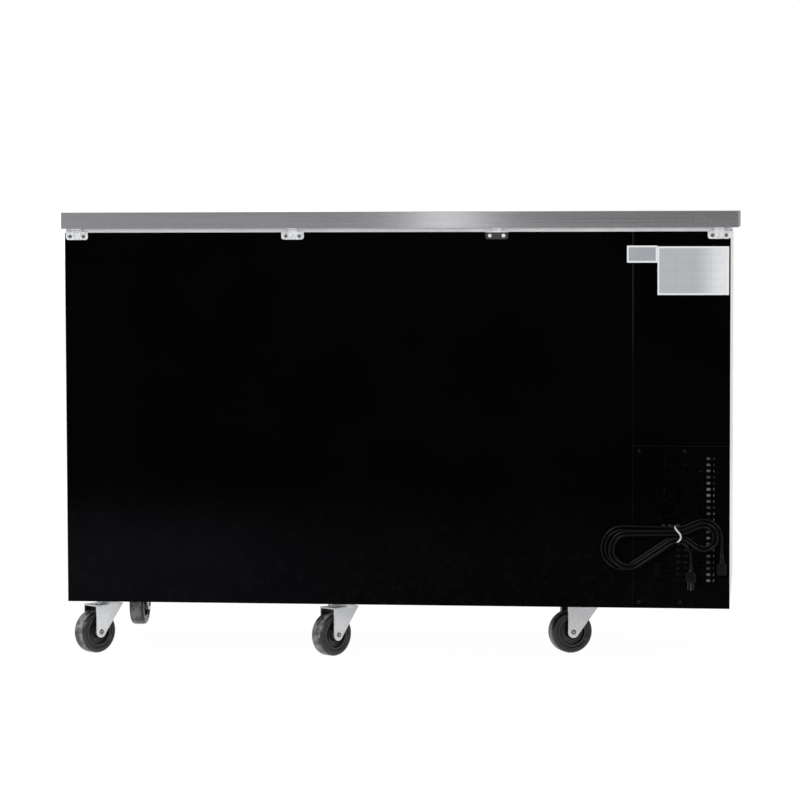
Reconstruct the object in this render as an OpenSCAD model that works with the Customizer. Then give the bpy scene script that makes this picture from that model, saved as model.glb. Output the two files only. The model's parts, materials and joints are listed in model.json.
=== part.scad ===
// Under counter fridge with a steel counter, on six casters.
// Millimetres, +Z up. The doors face -Y and the machine bay is at the -X end.
// The origin is on the floor under the middle of the counter.

/* [Counter] */
// Width of the counter, end to end
counter_w = 1550; // [1400:10:1700]
// Depth of the counter, front to back
counter_d = 700; // [660:5:760]
// Height of the folded edge of the counter
counter_h = 38; // [30:1:50]
// Thickness of the counter sheet
counter_t = 1.2; // [1:0.1:2]
// Width of the flange folded in under the counter edge
counter_return = 24; // [22:1:30]
// Overhang of the counter past the cabinet end
over_cabinet = 6; // [4:1:16]
// Overhang of the counter past the machine end
over_machine = 17; // [8:1:24]
// Overhang of the counter past the rear panels
over_rear = 12; // [8:1:20]
// Overhang of the counter past the door fronts
over_front = 10; // [6:1:20]

/* [Cabinet] */
// Height of the black cabinet
body_h = 854; // [800:2:900]
// Height of the bare strip between the cabinet and the counter
rail_h = 9; // [6:1:14]
// Width of the machine bay
bay_w = 219; // [215:1:240]
// Height of the split between the two bay panels above the floor
split_z = 497; // [490:1:520]
// Thickness of the outer sheet
skin_t = 1; // [0.8:0.1:1.4]
// Thickness of the liner sheet
liner_t = 1; // [0.8:0.1:1.5]
// Thickness of the insulated walls
wall_t = 48; // [40:1:60]
// Thickness of the floor pan
base_t = 2; // [1.5:0.1:3]
// Gap between neighbouring rear panels
seam = 1.5; // [1:0.1:3]
// Thickness of the face frame
frame_t = 4; // [3:0.5:6]
// Reach of the face frame past the liner into the door openings
frame_lip = 5; // [3:0.5:8]
// Width of the mullion between the doors
mullion_w = 60; // [50:1:70]
// Depth of the mullion post behind the face frame
mullion_d = 50; // [40:1:55]

/* [Rear fittings] */
// Width of a counter bracket
bracket_w = 52; // [44:1:60]
// Thickness of the bracket sheet
bracket_t = 1.6; // [1.2:0.1:2]
// Distance from the top of the cabinet down to the foot of a bracket
bracket_drop = 16.5; // [14:0.5:22]
// Height of the wide foot of a bracket
bracket_foot = 18; // [14:0.5:20]
// Width of the tongue of a bracket
tongue_w = 23; // [16:1:28]
// Distance between the two screws of a bracket
bracket_pitch = 31; // [28:0.5:36]
// Diameter of a screw shank
screw_d = 4; // [3:0.5:5]
// Diameter of a screw head
head_d = 8.4; // [7:0.1:9]
// Height of a screw head
head_h = 2.2; // [1.5:0.1:3]
// Clearance around a screw in its hole
screw_gap = 0.2; // [0.1:0.05:0.4]
// Thickness of the stuck-on plates
plate_t = 0.4; // [0.3:0.1:0.8]

/* [Vent] */
// Length of one vent slot
slot_w = 11; // [8:0.5:13]
// Height of one vent slot
slot_h = 6; // [4:0.5:8]
// Distance between slot columns
slot_px = 16.9; // [15:0.1:18]
// Distance between slot rows
slot_pz = 13.85; // [12:0.05:15]
// Number of slot columns
slot_nx = 8; // [6:1:8]
// Number of slot rows
slot_nz = 21; // [16:1:22]

/* [Doors] */
// Thickness of a door
door_t = 38; // [34:1:45]
// Gap between a closed door and the face frame
seal_gap = 8; // [6:0.5:10]
// Gap above and below a door
door_gap_z = 4; // [3.8:0.1:6]
// Gap between the two doors
door_gap_x = 6; // [4:0.5:8]
// Gap between the bay grille and the first door
grille_gap = 5; // [4.5:0.5:10]
// Distance of the hinge axis from the edge and the front of a door
hinge_in = 9; // [8:0.5:12]
// Diameter of a hinge pin
hinge_pin_d = 8; // [6:0.5:10]
// Thickness of a hinge plate
hinge_t = 3; // [2:0.5:3]
// Running clearance around pins and shafts
run_gap = 0.05; // [0.03:0.01:0.1]
// Distance of the gasket from the edge of a door
gasket_in = 18; // [16:1:24]
// Width of the gasket
gasket_w = 20; // [14:1:24]
// Clearance of soft pieces
soft_gap = 0.3; // [0.3:0.1:0.6]
// Height of the recessed handle
handle_h = 170; // [140:5:220]
// Width of the recessed handle
handle_w = 48; // [44:1:60]
// Depth of the recessed handle
handle_d = 24; // [20:1:28]

/* [Casters] */
// Height of a caster from the floor to the floor pan
caster_h = 128; // [124:1:136]
// Diameter of a wheel
wheel_d = 100; // [96:1:102]
// Width of a wheel
wheel_w = 36; // [32:1:40]
// Distance from the swivel axis to the axle
trail = 38; // [34:1:42]
// Thickness of the fork sheet
fork_t = 3; // [2.5:0.5:4]
// Clearance between the wheel and each fork leg
fork_gap = 3; // [2.5:0.5:5]
// Diameter of an axle bolt
axle_d = 8; // [7:0.5:10]
// Diameter of a king pin
king_d = 12; // [10:0.5:14]
// Distance between neighbouring casters
caster_pitch = 559; // [520:1:580]
// Distance of the end casters from the end of the cabinet
caster_in = 72; // [60:1:80]

/* [Cord] */
// Diameter of the mains cord
cord_d = 8; // [7:0.5:8.5]
// Clearance between neighbouring turns of the hank
cord_gap = 0.6; // [0.5:0.1:0.6]
// Length of the longer lobe of the hank
lobe_l = 177; // [160:1:190]
// Length of the shorter lobe of the hank
lobe_r = 98; // [94:1:104]
// Bend radius of the hanging end
tail_r = 34; // [32:1:40]

/* [Hidden] */
$fa = 4;
$fs = 0.4;
eps = 0.01;

z_base = caster_h;
z_body = z_base + body_h;
z_counter = z_body + rail_h;
z_top = z_counter + counter_h;
body_x0 = -counter_w / 2 + over_machine;
body_x1 = counter_w / 2 - over_cabinet;
bay_x1 = body_x0 + bay_w;
y_rear = counter_d / 2 - over_rear;
door_front = -counter_d / 2 + over_front;
door_back = door_front + door_t;
frame_front = door_back + seal_gap;
y_front = frame_front + frame_t;

// Insulated cavity
cav_x0 = bay_x1 + wall_t;
cav_x1 = body_x1 - skin_t - wall_t;
cav_y1 = y_rear - skin_t - wall_t;
cav_z0 = z_base + base_t + wall_t;
cav_z1 = z_body - wall_t;

// Doors
door_z0 = z_base + door_gap_z;
door_z1 = z_body - door_gap_z;
door_x0 = bay_x1 + grille_gap;
door_x1 = body_x1 - 2;
door_w = (door_x1 - door_x0 - door_gap_x) / 2;
door_mid = door_x0 + door_w + door_gap_x / 2;
hinge_y = door_front + hinge_in;
hinge_x = [door_x0 + hinge_in, door_x1 - hinge_in];
pin_len = 12;
handle_z0 = door_z1 - 110 - handle_h;
handle_edge = 34;

// Rear face
bracket_z = z_body - bracket_drop;
bracket_screw_z = bracket_z + 8;
bracket_x = [body_x1 - 28.5, 238, -230, body_x0 + 25.5];
slot_x0 = body_x0 + 32;
slot_z0 = z_base + 64;
vent_screws = [[bay_x1 - 14, split_z - 11], [bay_x1 - 117, split_z - 11],
               [bay_x1 - 14, z_base + 13.5], [bay_x1 - 107, z_base + 14]];
bay_rail_t = 1.5;
side_flange = 8;

// Casters: name, X, Y and the heading of the trailing axle
fork_in = wheel_w / 2 + fork_gap;
fork_out = fork_in + fork_t;
caster_top = 3;
race_d = 56;
race_z = z_base - caster_top - 5;
crown_z = z_base - 18;
axle_z = wheel_d / 2;
leg_r = 13.5;
leg_back = 28;
rivet_d = axle_d + 3;
rivet_h = 2.2;
bolt_x = 36.5;
bolt_y = 22.5;
rear_in = 97;
caster_x = body_x1 - caster_in;
CASTERS = [
    ["rear_right", caster_x, y_rear - rear_in, 51],
    ["rear_middle", caster_x - caster_pitch, y_rear - rear_in, 52],
    ["rear_left", caster_x - 2 * caster_pitch, y_rear - rear_in - 91, 24],
    ["front_right", caster_x + 18, y_front + rear_in, -90],
    ["front_middle", caster_x - caster_pitch + 61, y_front + rear_in, -70],
    ["front_left", caster_x - 2 * caster_pitch + 41, y_front + rear_in, -70],
];
BRAKES = [3, 5];
brake_t = 40;
brake_z = axle_z + 55.5;
brake_pin = 5;

// Machine bay
bay_mid = (body_x0 + bay_x1) / 2;
coil_y1 = y_front + 95;
fan_z = z_base + 167;
fan_r = 78;
fan_shaft = 8;
fan_y = coil_y1 + 27;
comp_y = y_rear - 150;
comp_z = z_base + base_t + 16;

// Evaporator
ev_x1 = cav_x0 + liner_t + 88;
ev_y0 = y_front + 112;
ev_y1 = cav_y1 - liner_t;
ev_fan_y = 60;
ev_fan_z = cav_z1 - 130;
ev_fan_r = 66;
line_y = 150;
line_z = z_base + 432;
line_hole = 30;

// Shelves
shelf_z = [z_base + 272, z_base + 512];
shelf_y0 = y_front + mullion_d + 10;
shelf_y1 = cav_y1 - liner_t - 12;
shelf_bar = 6;
shelf_wire = 4;
pil_w = 16;
pil_t = 8;
shelf_xl = [ev_x1 + pil_t + 2, door_mid - 6];
shelf_xr = [door_mid + 6, cav_x1 - liner_t - pil_t - 2];

// Front of the bay
grille_y = door_front + 18;
grille_t = 1.2;
grille_x1 = bay_x1 - seam / 2 - 2;
panel_z = z_body - 82;
panel_w = 150;
panel_h = 80;
panel_t = 4;
knob_x = bay_mid - 34;
knob_d = 34;
knob_h = 12;
switch_x = bay_mid + 38;
switch_pin = 3;

// Cord hank: pitch of the turns and place of the tie
pitch = cord_d + cord_gap;
tie_row = [6, 9];
tie_col = 5;
tie_t = 1.2;
tie_out = 1.6;
tie_w = 6;
hank_x = slot_x0 + tie_col * slot_px;
tie_z0 = slot_z0 + tie_row[0] * slot_pz;
tie_z1 = slot_z0 + tie_row[1] * slot_pz;
hank_z = (tie_z0 + tie_z1) / 2;
hank_y1 = y_rear + 0.6 + cord_d / 2;
hank_y2 = hank_y1 + pitch;
lead_y = y_rear + 8;

function ease(u) = let (c = min(1, max(0, u))) c * c * (3 - 2 * c);
function unit(v) = v / norm(v);
function sums(l) = [for (i = 0, s = 0; i <= len(l); s = s + (i < len(l) ? l[i] : 0), i = i + 1) s];

// A loop of the hank lies on four circles: the end of each lobe and the two sides of the tie.
// They are given as centre and radius, in X and Z from the tie, and joined by straight runs.
waist_r = 24;
lobe_end = [[-(lobe_r - 40), -4], 40];
lobes = [[[lobe_l - 53, -31], 53], [[lobe_l - 65, -33], 47]];
function rounds(b) = [lobe_end, [[0, 2 * pitch + waist_r], waist_r], b, [[0, -2 * pitch - waist_r], waist_r]];
function heading(p, q, side) = let (v = q[0] - p[0])
    atan2(v[1], v[0]) + side * asin((p[1] + q[1]) / norm(v));
// Pieces of a loop as circle, first heading and last heading
function pieces(c) = let (
        h1 = heading(c[0], c[1], -1),
        h2 = heading(c[1], c[2], 1),
        g3 = heading(c[2], c[3], -1),
        g4 = heading(c[3], c[0], 1),
        h3 = g3 - 360 * ceil((g3 - h2) / 360),
        h4 = g4 - 360 * floor((g4 - h3) / 360))
    [[0, 90, h1], [0, h1, h1], [1, h1, h2], [1, h2, h2], [2, h2, h3], [2, h3, h3], [3, h3, h4],
     [3, h4, h4], [0, h4, -270]];
function on(c, i, h) = c[i][0] + (i % 2 == 0 ? 1 : -1) * c[i][1] * [-sin(h), cos(h)];
function lengths(c, e) = [for (k = [0 : 8]) k % 2 == 0
    ? c[e[k][0]][1] * abs(e[k][2] - e[k][1]) * PI / 180
    : norm(on(c, (e[k][0] + 1) % 4, e[k][1]) - on(c, e[k][0], e[k][1]))];
loop_c = [for (b = lobes) rounds(b)];
loop_e = [for (c = loop_c) pieces(c)];
loop_l = [for (i = [0, 1]) lengths(loop_c[i], loop_e[i])];
loop_s = [for (l = loop_l) sums(l)];
// Place and heading at the part u of one turn, on the outer (0) or the inner (1) loop
function bow(i, u) = let (
        q = (u - floor(u)) * loop_s[i][9],
        k = len([for (j = [1 : 8]) if (loop_s[i][j] <= q) 1]),
        f = (q - loop_s[i][k]) / loop_l[i][k],
        e = loop_e[i][k],
        h = e[1] + (e[2] - e[1]) * f,
        a = on(loop_c[i], e[0], h),
        b = on(loop_c[i], (e[0] + 1) % 4, h),
        p = k % 2 == 0 ? a : a + (b - a) * f)
    [p[0], p[1], h];
// Centre of the cord after t turns: two turns spiral in on the panel, two more spiral out on top
climb = 0.16;
function hank_at(t) = let (
        p = bow(t < 2 ? 0 : 1, t),
        s = (t < 2 ? t : 4 - t) * pitch,
        lay = ease((t - 2 + climb) / (2 * climb)),
        up = (lead_y - hank_y1) * (1 - ease(t / 0.2)))
    [hank_x + p[0] + s * sin(p[2]), hank_y1 + pitch * lay + up, hank_z + p[1] - s * cos(p[2])];
// Straight lead from the bushing up to the hank
lead_p = hank_at(0);
lead_l = 34;
// Hanging end: an arc into the vertical, then straight into the plug
exit_t = 3 + loop_s[1][7] / loop_s[1][9] - 0.0001;
exit_p = hank_at(exit_t);
exit_d = unit(exit_p - hank_at(exit_t - 0.002));
exit_a = atan2(-exit_d[2], -exit_d[0]);
function tail_at(a) = exit_p + tail_r * [sin(exit_a) - sin(a), 0, cos(a) - cos(exit_a)];
tail_p = tail_at(90);
tail_l = 14;
function cord_points(n, m) = concat(
    [for (k = [lead_l, lead_l - cord_d, lead_l / 2]) lead_p - [0, 0, k]],
    [for (i = [0 : n]) hank_at(exit_t * i / n)],
    [for (i = [1 : m]) tail_at(exit_a + (90 - exit_a) * i / m)],
    [for (k = [tail_l - cord_d, tail_l]) tail_p - [0, 0, k]]);
cord_path = cord_points(138, 5);
// Least gap of the cord to itself, on fine points, and its length
fine = cord_points(900, 20);
cord_least = min([for (i = [0 : 2 : len(fine) - 20]) for (j = [i + 18 : len(fine) - 1])
    norm(fine[i] - fine[j])]) - cord_d;
cord_len = sums([for (i = [1 : len(fine) - 1]) norm(fine[i] - fine[i - 1])])[len(fine) - 1];
echo(cord_gap_least = cord_least, cord_length = cord_len);

module box(x0, x1, y0, y1, z0, z1) {
    translate([x0, y0, z0])
        cube([x1 - x0, y1 - y0, z1 - z0]);
}

module along_y(x, z, y0, y1, d) {
    translate([x, y0, z])
        rotate([-90, 0, 0])
            cylinder(h = y1 - y0, d = d);
}

module along_x(y, z, x0, x1, d) {
    translate([x0, y, z])
        rotate([0, 90, 0])
            cylinder(h = x1 - x0, d = d);
}

// A flat shape drawn in X and Z, given its thickness along Y
module upright(y0, y1) {
    translate([0, y1, 0])
        rotate([90, 0, 0])
            linear_extrude(y1 - y0)
                children();
}

// A tube swept along points, as one closed solid
module tube(pts, r, sides) {
    n = len(pts);
    dirs = [for (i = [0 : n - 1]) unit(pts[min(i + 1, n - 1)] - pts[max(i - 1, 0)])];
    ring = [for (i = [0 : n - 1]) let (
        u = unit(cross(dirs[i], [0.03, 1, 0.05])),
        v = cross(dirs[i], u))
        for (k = [0 : sides - 1]) pts[i] + r * (cos(360 * k / sides) * u + sin(360 * k / sides) * v)];
    walls = [for (i = [0 : n - 2]) for (k = [0 : sides - 1]) let (a = i * sides, k2 = (k + 1) % sides)
        for (f = [[k, sides + k, sides + k2], [k, sides + k2, k2]]) [a + f[0], a + f[1], a + f[2]]];
    caps = [[for (k = [0 : sides - 1]) k],
            [for (k = [sides - 1 : -1 : 0]) (n - 1) * sides + k]];
    polyhedron(points = ring, faces = concat(walls, caps), convexity = 12);
}

module bracket_bores(d, y0, y1) {
    for (x = bracket_x)
        for (side = [-1, 1])
            along_y(x + side * bracket_pitch / 2, bracket_screw_z, y0, y1, d);
}

module screw(x, z, y, len) {
    difference() {
        union() {
            along_y(x, z, y, y + head_h, head_d);
            along_y(x, z, y - len, y + eps, screw_d);
        }
        box(x - 2.6, x + 2.6, y + head_h - 1, y + head_h + 1, z - 0.5, z + 0.5);
        box(x - 0.5, x + 0.5, y + head_h - 1, y + head_h + 1, z - 2.6, z + 2.6);
    }
}

module countertop() {
    color("silver")
        difference() {
            box(-counter_w / 2, counter_w / 2, -counter_d / 2, counter_d / 2, z_counter, z_top);
            box(-counter_w / 2 + counter_t, counter_w / 2 - counter_t,
                -counter_d / 2 + counter_t, counter_d / 2 - counter_t,
                z_counter + counter_t, z_top - counter_t);
            box(-counter_w / 2 + counter_return, counter_w / 2 - counter_return,
                -counter_d / 2 + counter_return, counter_d / 2 - counter_return,
                z_counter - 1, z_counter + 2 * counter_t);
        }
}

module counter_core() {
    in = counter_return + 0.5;
    color("gainsboro") {
        box(body_x0 + 2, body_x1 - 2, y_front + 2, y_rear - 2, z_body, z_counter);
        box(-counter_w / 2 + in, counter_w / 2 - in, -counter_d / 2 + in, counter_d / 2 - in,
            z_counter, z_top - counter_t);
    }
}

module counter_brackets() {
    r = 6;
    color("lightgray")
        difference() {
            for (x = bracket_x)
                union() {
                    upright(y_rear, y_rear + bracket_t)
                        translate([x - bracket_w / 2, bracket_z]) {
                            translate([r, 0])
                                square([bracket_w - 2 * r, bracket_foot]);
                            translate([0, r])
                                square([bracket_w, bracket_foot - r]);
                            translate([r, r])
                                circle(r);
                            translate([bracket_w - r, r])
                                circle(r);
                        }
                    box(x - tongue_w / 2, x + tongue_w / 2, y_rear, y_rear + bracket_t,
                        bracket_z + r, z_counter);
                    box(x - tongue_w / 2 + 2.5, x + tongue_w / 2 - 2.5, y_rear, y_rear + bracket_t + 1.2,
                        bracket_z + 3, z_counter);
                    box(x - tongue_w / 2, x + tongue_w / 2, y_rear, y_rear + over_rear - 1,
                        z_counter - bracket_t, z_counter);
                }
            bracket_bores(screw_d + 2 * screw_gap, y_rear - 1, y_rear + 10);
        }
}

module bracket_screws() {
    color("gray")
        for (x = bracket_x)
            for (side = [-1, 1])
                screw(x + side * bracket_pitch / 2, bracket_screw_z, y_rear + bracket_t, bracket_t + 7);
}

module rear_panel() {
    color("#181818")
        difference() {
            box(bay_x1 + seam / 2, body_x1, y_rear - skin_t, y_rear, z_base, z_body);
            bracket_bores(screw_d + 2 * screw_gap, y_rear - 3, y_rear + 1);
        }
}

module side_panel_left() {
    color("#202020")
        difference() {
            union() {
                box(body_x0, body_x0 + skin_t, y_front, y_rear - skin_t, z_base, z_body);
                box(body_x0, body_x0 + skin_t + side_flange, y_rear - skin_t - bay_rail_t, y_rear - skin_t,
                    z_base + base_t, z_body);
                box(body_x0, body_x0 + skin_t + side_flange, y_front, y_front + skin_t,
                    z_base + base_t, z_body);
            }
            bracket_bores(screw_d + 2 * screw_gap, y_rear - 10, y_rear);
        }
}

module side_panel_right() {
    color("#202020")
        box(body_x1 - skin_t, body_x1, y_front, y_rear - skin_t, z_base, z_body);
}

module bay_rear_panel() {
    color("#1a1a1a")
        difference() {
            box(body_x0, bay_x1 - seam / 2, y_rear - skin_t, y_rear, split_z + seam / 2, z_body);
            bracket_bores(screw_d + 2 * screw_gap, y_rear - 3, y_rear + 1);
        }
}

module vent_slots() {
    r = slot_h / 2;
    upright(y_rear - 4, y_rear + 4)
        for (i = [0 : slot_nx - 1])
            for (k = [0 : slot_nz - 1])
                translate([slot_x0 + i * slot_px, slot_z0 + k * slot_pz]) {
                    square([slot_w - slot_h, slot_h], center = true);
                    translate([-slot_w / 2 + r, 0])
                        circle(r);
                    translate([slot_w / 2 - r, 0])
                        circle(r);
                }
}

gland_x = lead_p[0];
gland_z1 = lead_p[2] - lead_l;
gland_z0 = gland_z1 - 52;
gland_hole = 14;
// Post behind the vented panel: between the first two columns of slots
post_x0 = slot_x0 + 3;
post_x1 = slot_x0 + slot_px + 3;

module vent_panel() {
    color("#1a1a1a")
        difference() {
            box(body_x0, bay_x1 - seam / 2, y_rear - skin_t, y_rear, z_base, split_z - seam / 2);
            vent_slots();
            for (p = vent_screws)
                along_y(p[0], p[1], y_rear - 3, y_rear + 1, screw_d + 2 * screw_gap);
            along_y(gland_x, gland_z0 + 13, y_rear - 3, y_rear + 1, gland_hole + 2 * screw_gap);
        }
}

module panel_screws() {
    color("#303030")
        for (p = vent_screws)
            screw(p[0], p[1], y_rear, 8);
}

module rating_plates() {
    color("whitesmoke") {
        box(body_x0 + 3.5, body_x0 + 164, y_rear, y_rear + plate_t, z_body - 143, z_body - 33.5);
        box(body_x0 + 164.2, body_x0 + 233, y_rear, y_rear + plate_t, z_body - 70, z_body - 31.5);
    }
}

module caster_bores(d, z0, z1) {
    for (c = CASTERS)
        for (sx = [-1, 1])
            for (sy = [-1, 1])
                translate([c[1] + sx * bolt_x, c[2] + sy * bolt_y, z0])
                    cylinder(h = z1 - z0, d = d);
}

module base_frame() {
    y1 = y_rear - skin_t;
    x0 = body_x0 + skin_t + side_flange;
    color("darkgray")
        difference() {
            union() {
                box(body_x0 + skin_t, body_x1 - skin_t, y_front, y1, z_base, z_base + base_t);
                box(x0, bay_x1, y1 - bay_rail_t, y1, z_base, z_base + 30);
                box(x0, bay_x1, y1 - bay_rail_t, y1, split_z - 18, split_z + 14);
                box(bay_x1 - 20, bay_x1, y1 - bay_rail_t, y1, z_base, z_body);
                box(post_x0, post_x1, y1 - bay_rail_t, y1, z_base, split_z);
                box(x0, bay_x1, y1 - bay_rail_t, y1, z_body - 30, z_body);
            }
            caster_bores(8.6, z_base - 1, z_base + base_t + 1);
            for (p = vent_screws)
                along_y(p[0], p[1], y1 - 10, y1 + 1, screw_d + 2 * screw_gap);
            bracket_bores(screw_d + 2 * screw_gap, y1 - 10, y1 + 1);
        }
}

module cabinet_foam() {
    color("khaki")
        difference() {
            box(bay_x1, body_x1 - skin_t, y_front, y_rear - skin_t, z_base + base_t, z_body);
            box(cav_x0, cav_x1, y_front - 1, cav_y1, cav_z0, cav_z1);
            bracket_bores(screw_d + 2 * screw_gap, y_rear - 10, y_rear);
            along_x(line_y, line_z, bay_x1 - 1, cav_x0 + 1, line_hole);
        }
}

module inner_liner() {
    color("lightgray")
        difference() {
            box(cav_x0, cav_x1, y_front, cav_y1, cav_z0, cav_z1);
            box(cav_x0 + liner_t, cav_x1 - liner_t, y_front - 1, cav_y1 - liner_t,
                cav_z0 + liner_t, cav_z1 - liner_t);
            along_x(line_y, line_z, cav_x0 - 1, cav_x0 + liner_t + 1, line_hole);
        }
}

module face_frame() {
    x0 = cav_x0 + frame_lip;
    x1 = cav_x1 - frame_lip;
    m = mullion_w / 2;
    color("#222222")
        difference() {
            union() {
                box(bay_x1 + seam / 2, body_x1, frame_front, y_front, z_base, z_body);
                box(door_mid - m, door_mid + m, frame_front, y_front + mullion_d,
                    cav_z0 + liner_t, cav_z1 - liner_t);
            }
            box(x0, door_mid - m, frame_front - 1, y_front + 1, cav_z0 + frame_lip, cav_z1 - frame_lip);
            box(door_mid + m, x1, frame_front - 1, y_front + 1, cav_z0 + frame_lip, cav_z1 - frame_lip);
        }
}

module hinge_brackets() {
    z0 = door_z0 - 0.5 - hinge_t;
    z1 = door_z1 + 0.5;
    color("silver")
        for (i = [0, 1]) {
            s = i == 0 ? 1 : -1;
            for (z = [z0, z1]) {
                p = z == z0 ? z + hinge_t - eps : z - pin_len;
                union() {
                    translate([0, 0, z])
                        linear_extrude(hinge_t) {
                            translate([hinge_x[i], hinge_y])
                                circle(r = 8);
                            translate([hinge_x[i] - 8, hinge_y])
                                square([16, frame_front - hinge_y]);
                            translate([hinge_x[i] + (s > 0 ? -8 : -32), frame_front - 10])
                                square([40, 10]);
                        }
                    translate([hinge_x[i], hinge_y, p])
                        cylinder(h = pin_len + eps, d = hinge_pin_d);
                }
            }
        }
}

module shelf(x0, x1, z) {
    n = floor((x1 - x0 - 20) / 25);
    step = (x1 - x0) / (n + 1);
    difference() {
        box(x0, x1, shelf_y0, shelf_y1, z, z + shelf_bar);
        box(x0 + shelf_bar, x1 - shelf_bar, shelf_y0 + shelf_bar, shelf_y1 - shelf_bar, z - 1, z + 9);
    }
    for (i = [1 : n])
        along_y(x0 + i * step, z + shelf_bar / 2, shelf_y0 + 2, shelf_y1 - 2, shelf_wire);
}

module wire_shelves() {
    color("lightgray")
        for (z = shelf_z) {
            union() {
                shelf(shelf_xl[0], shelf_xl[1], z);
            }
            union() {
                shelf(shelf_xr[0], shelf_xr[1], z);
            }
        }
}

module shelf_supports() {
    z0 = cav_z0 + 25;
    z1 = cav_z1 - 25;
    w = pil_w / 2;
    xr = cav_x1 - liner_t;
    yf = y_front + mullion_d;
    yr = cav_y1 - liner_t;
    color("silver") {
        for (y = [ev_y0 + 40, shelf_y1 - 40])
            union() {
                box(ev_x1, ev_x1 + pil_t, y - w, y + w, z0, z1);
                for (z = shelf_z)
                    box(ev_x1, ev_x1 + pil_t + 20, y - w, y + w, z - 7, z);
            }
        for (y = [shelf_y0 + 40, shelf_y1 - 40])
            union() {
                box(xr - pil_t, xr, y - w, y + w, z0, z1);
                for (z = shelf_z)
                    box(xr - pil_t - 20, xr, y - w, y + w, z - 7, z);
            }
        for (x = [door_mid - 19, door_mid + 19]) {
            union() {
                box(x - w, x + w, yf, yf + pil_t, z0, z1);
                for (z = shelf_z)
                    box(x - w, x + w, yf, yf + pil_t + 16, z - 7, z);
            }
            union() {
                box(x - w, x + w, yr - pil_t, yr, z0, z1);
                for (z = shelf_z)
                    box(x - w, x + w, yr - pil_t - 18, yr, z - 7, z);
            }
        }
    }
}

module evaporator_cover() {
    t = 1.2;
    x0 = cav_x0 + liner_t;
    z0 = cav_z0 + liner_t;
    z1 = cav_z1 - liner_t;
    color("whitesmoke")
        difference() {
            box(x0, ev_x1, ev_y0, ev_y1, z0, z1);
            box(x0 - 1, ev_x1 - t, ev_y0 + t, ev_y1 - t, z0 - 1, z1 + 1);
            along_x(ev_fan_y, ev_fan_z, ev_x1 - 5, ev_x1 + 5, 2 * ev_fan_r + 10);
            for (i = [0 : 8])
                box(ev_x1 - 5, ev_x1 + 5, -20, 150, z0 + 30 + i * 14, z0 + 36 + i * 14);
        }
}

module evaporator_coil() {
    x0 = cav_x0 + liner_t;
    z0 = line_z - 220;
    color("silver")
        difference() {
            box(x0, x0 + 66, -100, 220, z0, z0 + 280);
            for (i = [0 : 24])
                box(x0 + 8, x0 + 80, -101, 221, z0 + 6 + i * 11, z0 + 12 + i * 11);
        }
}

module evaporator_motor() {
    x0 = cav_x0 + liner_t;
    color("dimgray") {
        along_x(ev_fan_y, ev_fan_z, x0, x0 + 36, 60);
        along_x(ev_fan_y, ev_fan_z, x0 + 36 - eps, x0 + 66, 6);
    }
}

// Hub with slanted flat blades, turning about Z
module fan_rotor(r, hub_d, hub_h, bore_d, blades, chord) {
    difference() {
        union() {
            cylinder(h = hub_h, d = hub_d);
            for (i = [0 : blades - 1])
                rotate([0, 0, i * 360 / blades])
                    translate([hub_d / 2 - 5, 0, hub_h / 2])
                        rotate([32, 0, 0])
                            translate([0, -chord / 2, -1])
                                cube([r - hub_d / 2 + 5, chord, 2]);
        }
        translate([0, 0, -1])
            cylinder(h = hub_h - 3, d = bore_d);
    }
}

module evaporator_fan() {
    color("black")
        translate([cav_x0 + liner_t + 46, ev_fan_y, ev_fan_z])
            rotate([0, 90, 0])
                fan_rotor(ev_fan_r - 3, 34, 26, 6 + 2 * run_gap, 5, 38);
}

module compressor() {
    color("#151515") {
        translate([bay_mid, comp_y, comp_z])
            rotate_extrude()
                polygon([[0, 0], [74, 0], [82, 14], [82, 68], [87, 68], [87, 73], [82, 73], [82, 98],
                         [79, 114], [70, 134], [52, 152], [28, 162], [0, 165]]);
        box(bay_mid - 95, bay_mid + 95, comp_y - 72, comp_y + 72, comp_z - 4, comp_z);
    }
    color("dimgray")
        for (sx = [-1, 1])
            for (sy = [-1, 1])
                translate([bay_mid + sx * 80, comp_y + sy * 58, z_base + base_t])
                    cylinder(h = comp_z - 4 - z_base - base_t, d = 22);
}

module condenser_coil() {
    y0 = coil_y1 - 70;
    z0 = z_base + base_t;
    color("silver")
        difference() {
            union() {
                box(bay_mid - 90, bay_mid + 90, y0, coil_y1, z0 + 20, z0 + 310);
                box(bay_mid - 92, bay_mid - 90, y0, coil_y1, z0, z0 + 316);
                box(bay_mid + 90, bay_mid + 92, y0, coil_y1, z0, z0 + 316);
            }
            for (i = [0 : 25])
                box(bay_mid - 88, bay_mid + 88, y0 - 1, y0 + 24, z0 + 24 + i * 11, z0 + 30 + i * 11);
        }
}

module condenser_motor() {
    z0 = z_base + base_t;
    y0 = coil_y1;
    color("gray")
        union() {
            difference() {
                union() {
                    box(bay_mid - 92, bay_mid + 92, y0, y0 + 2, z0 + 20, z0 + 310);
                    along_y(bay_mid, fan_z, y0, y0 + 40, 2 * fan_r + 16);
                }
                along_y(bay_mid, fan_z, y0 - 1, y0 + 41, 2 * fan_r + 10);
            }
            for (s = [-1, 1])
                box(bay_mid - 6, bay_mid + 6, y0 + 1, y0 + 92, fan_z + s * 96 - 5, fan_z + s * 96 + 5);
            box(bay_mid - 6, bay_mid + 6, y0 + 88, y0 + 92, fan_z - 100, fan_z + 100);
            along_y(bay_mid, fan_z, y0 + 91, y0 + 136, 70);
            along_y(bay_mid, fan_z, fan_y + 1, y0 + 90, fan_shaft);
        }
}

module condenser_fan() {
    color("black")
        translate([bay_mid, fan_y + 24, fan_z])
            rotate([90, 0, 0])
                fan_rotor(fan_r, 40, 28, fan_shaft + 2 * run_gap, 5, 44);
}

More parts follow.
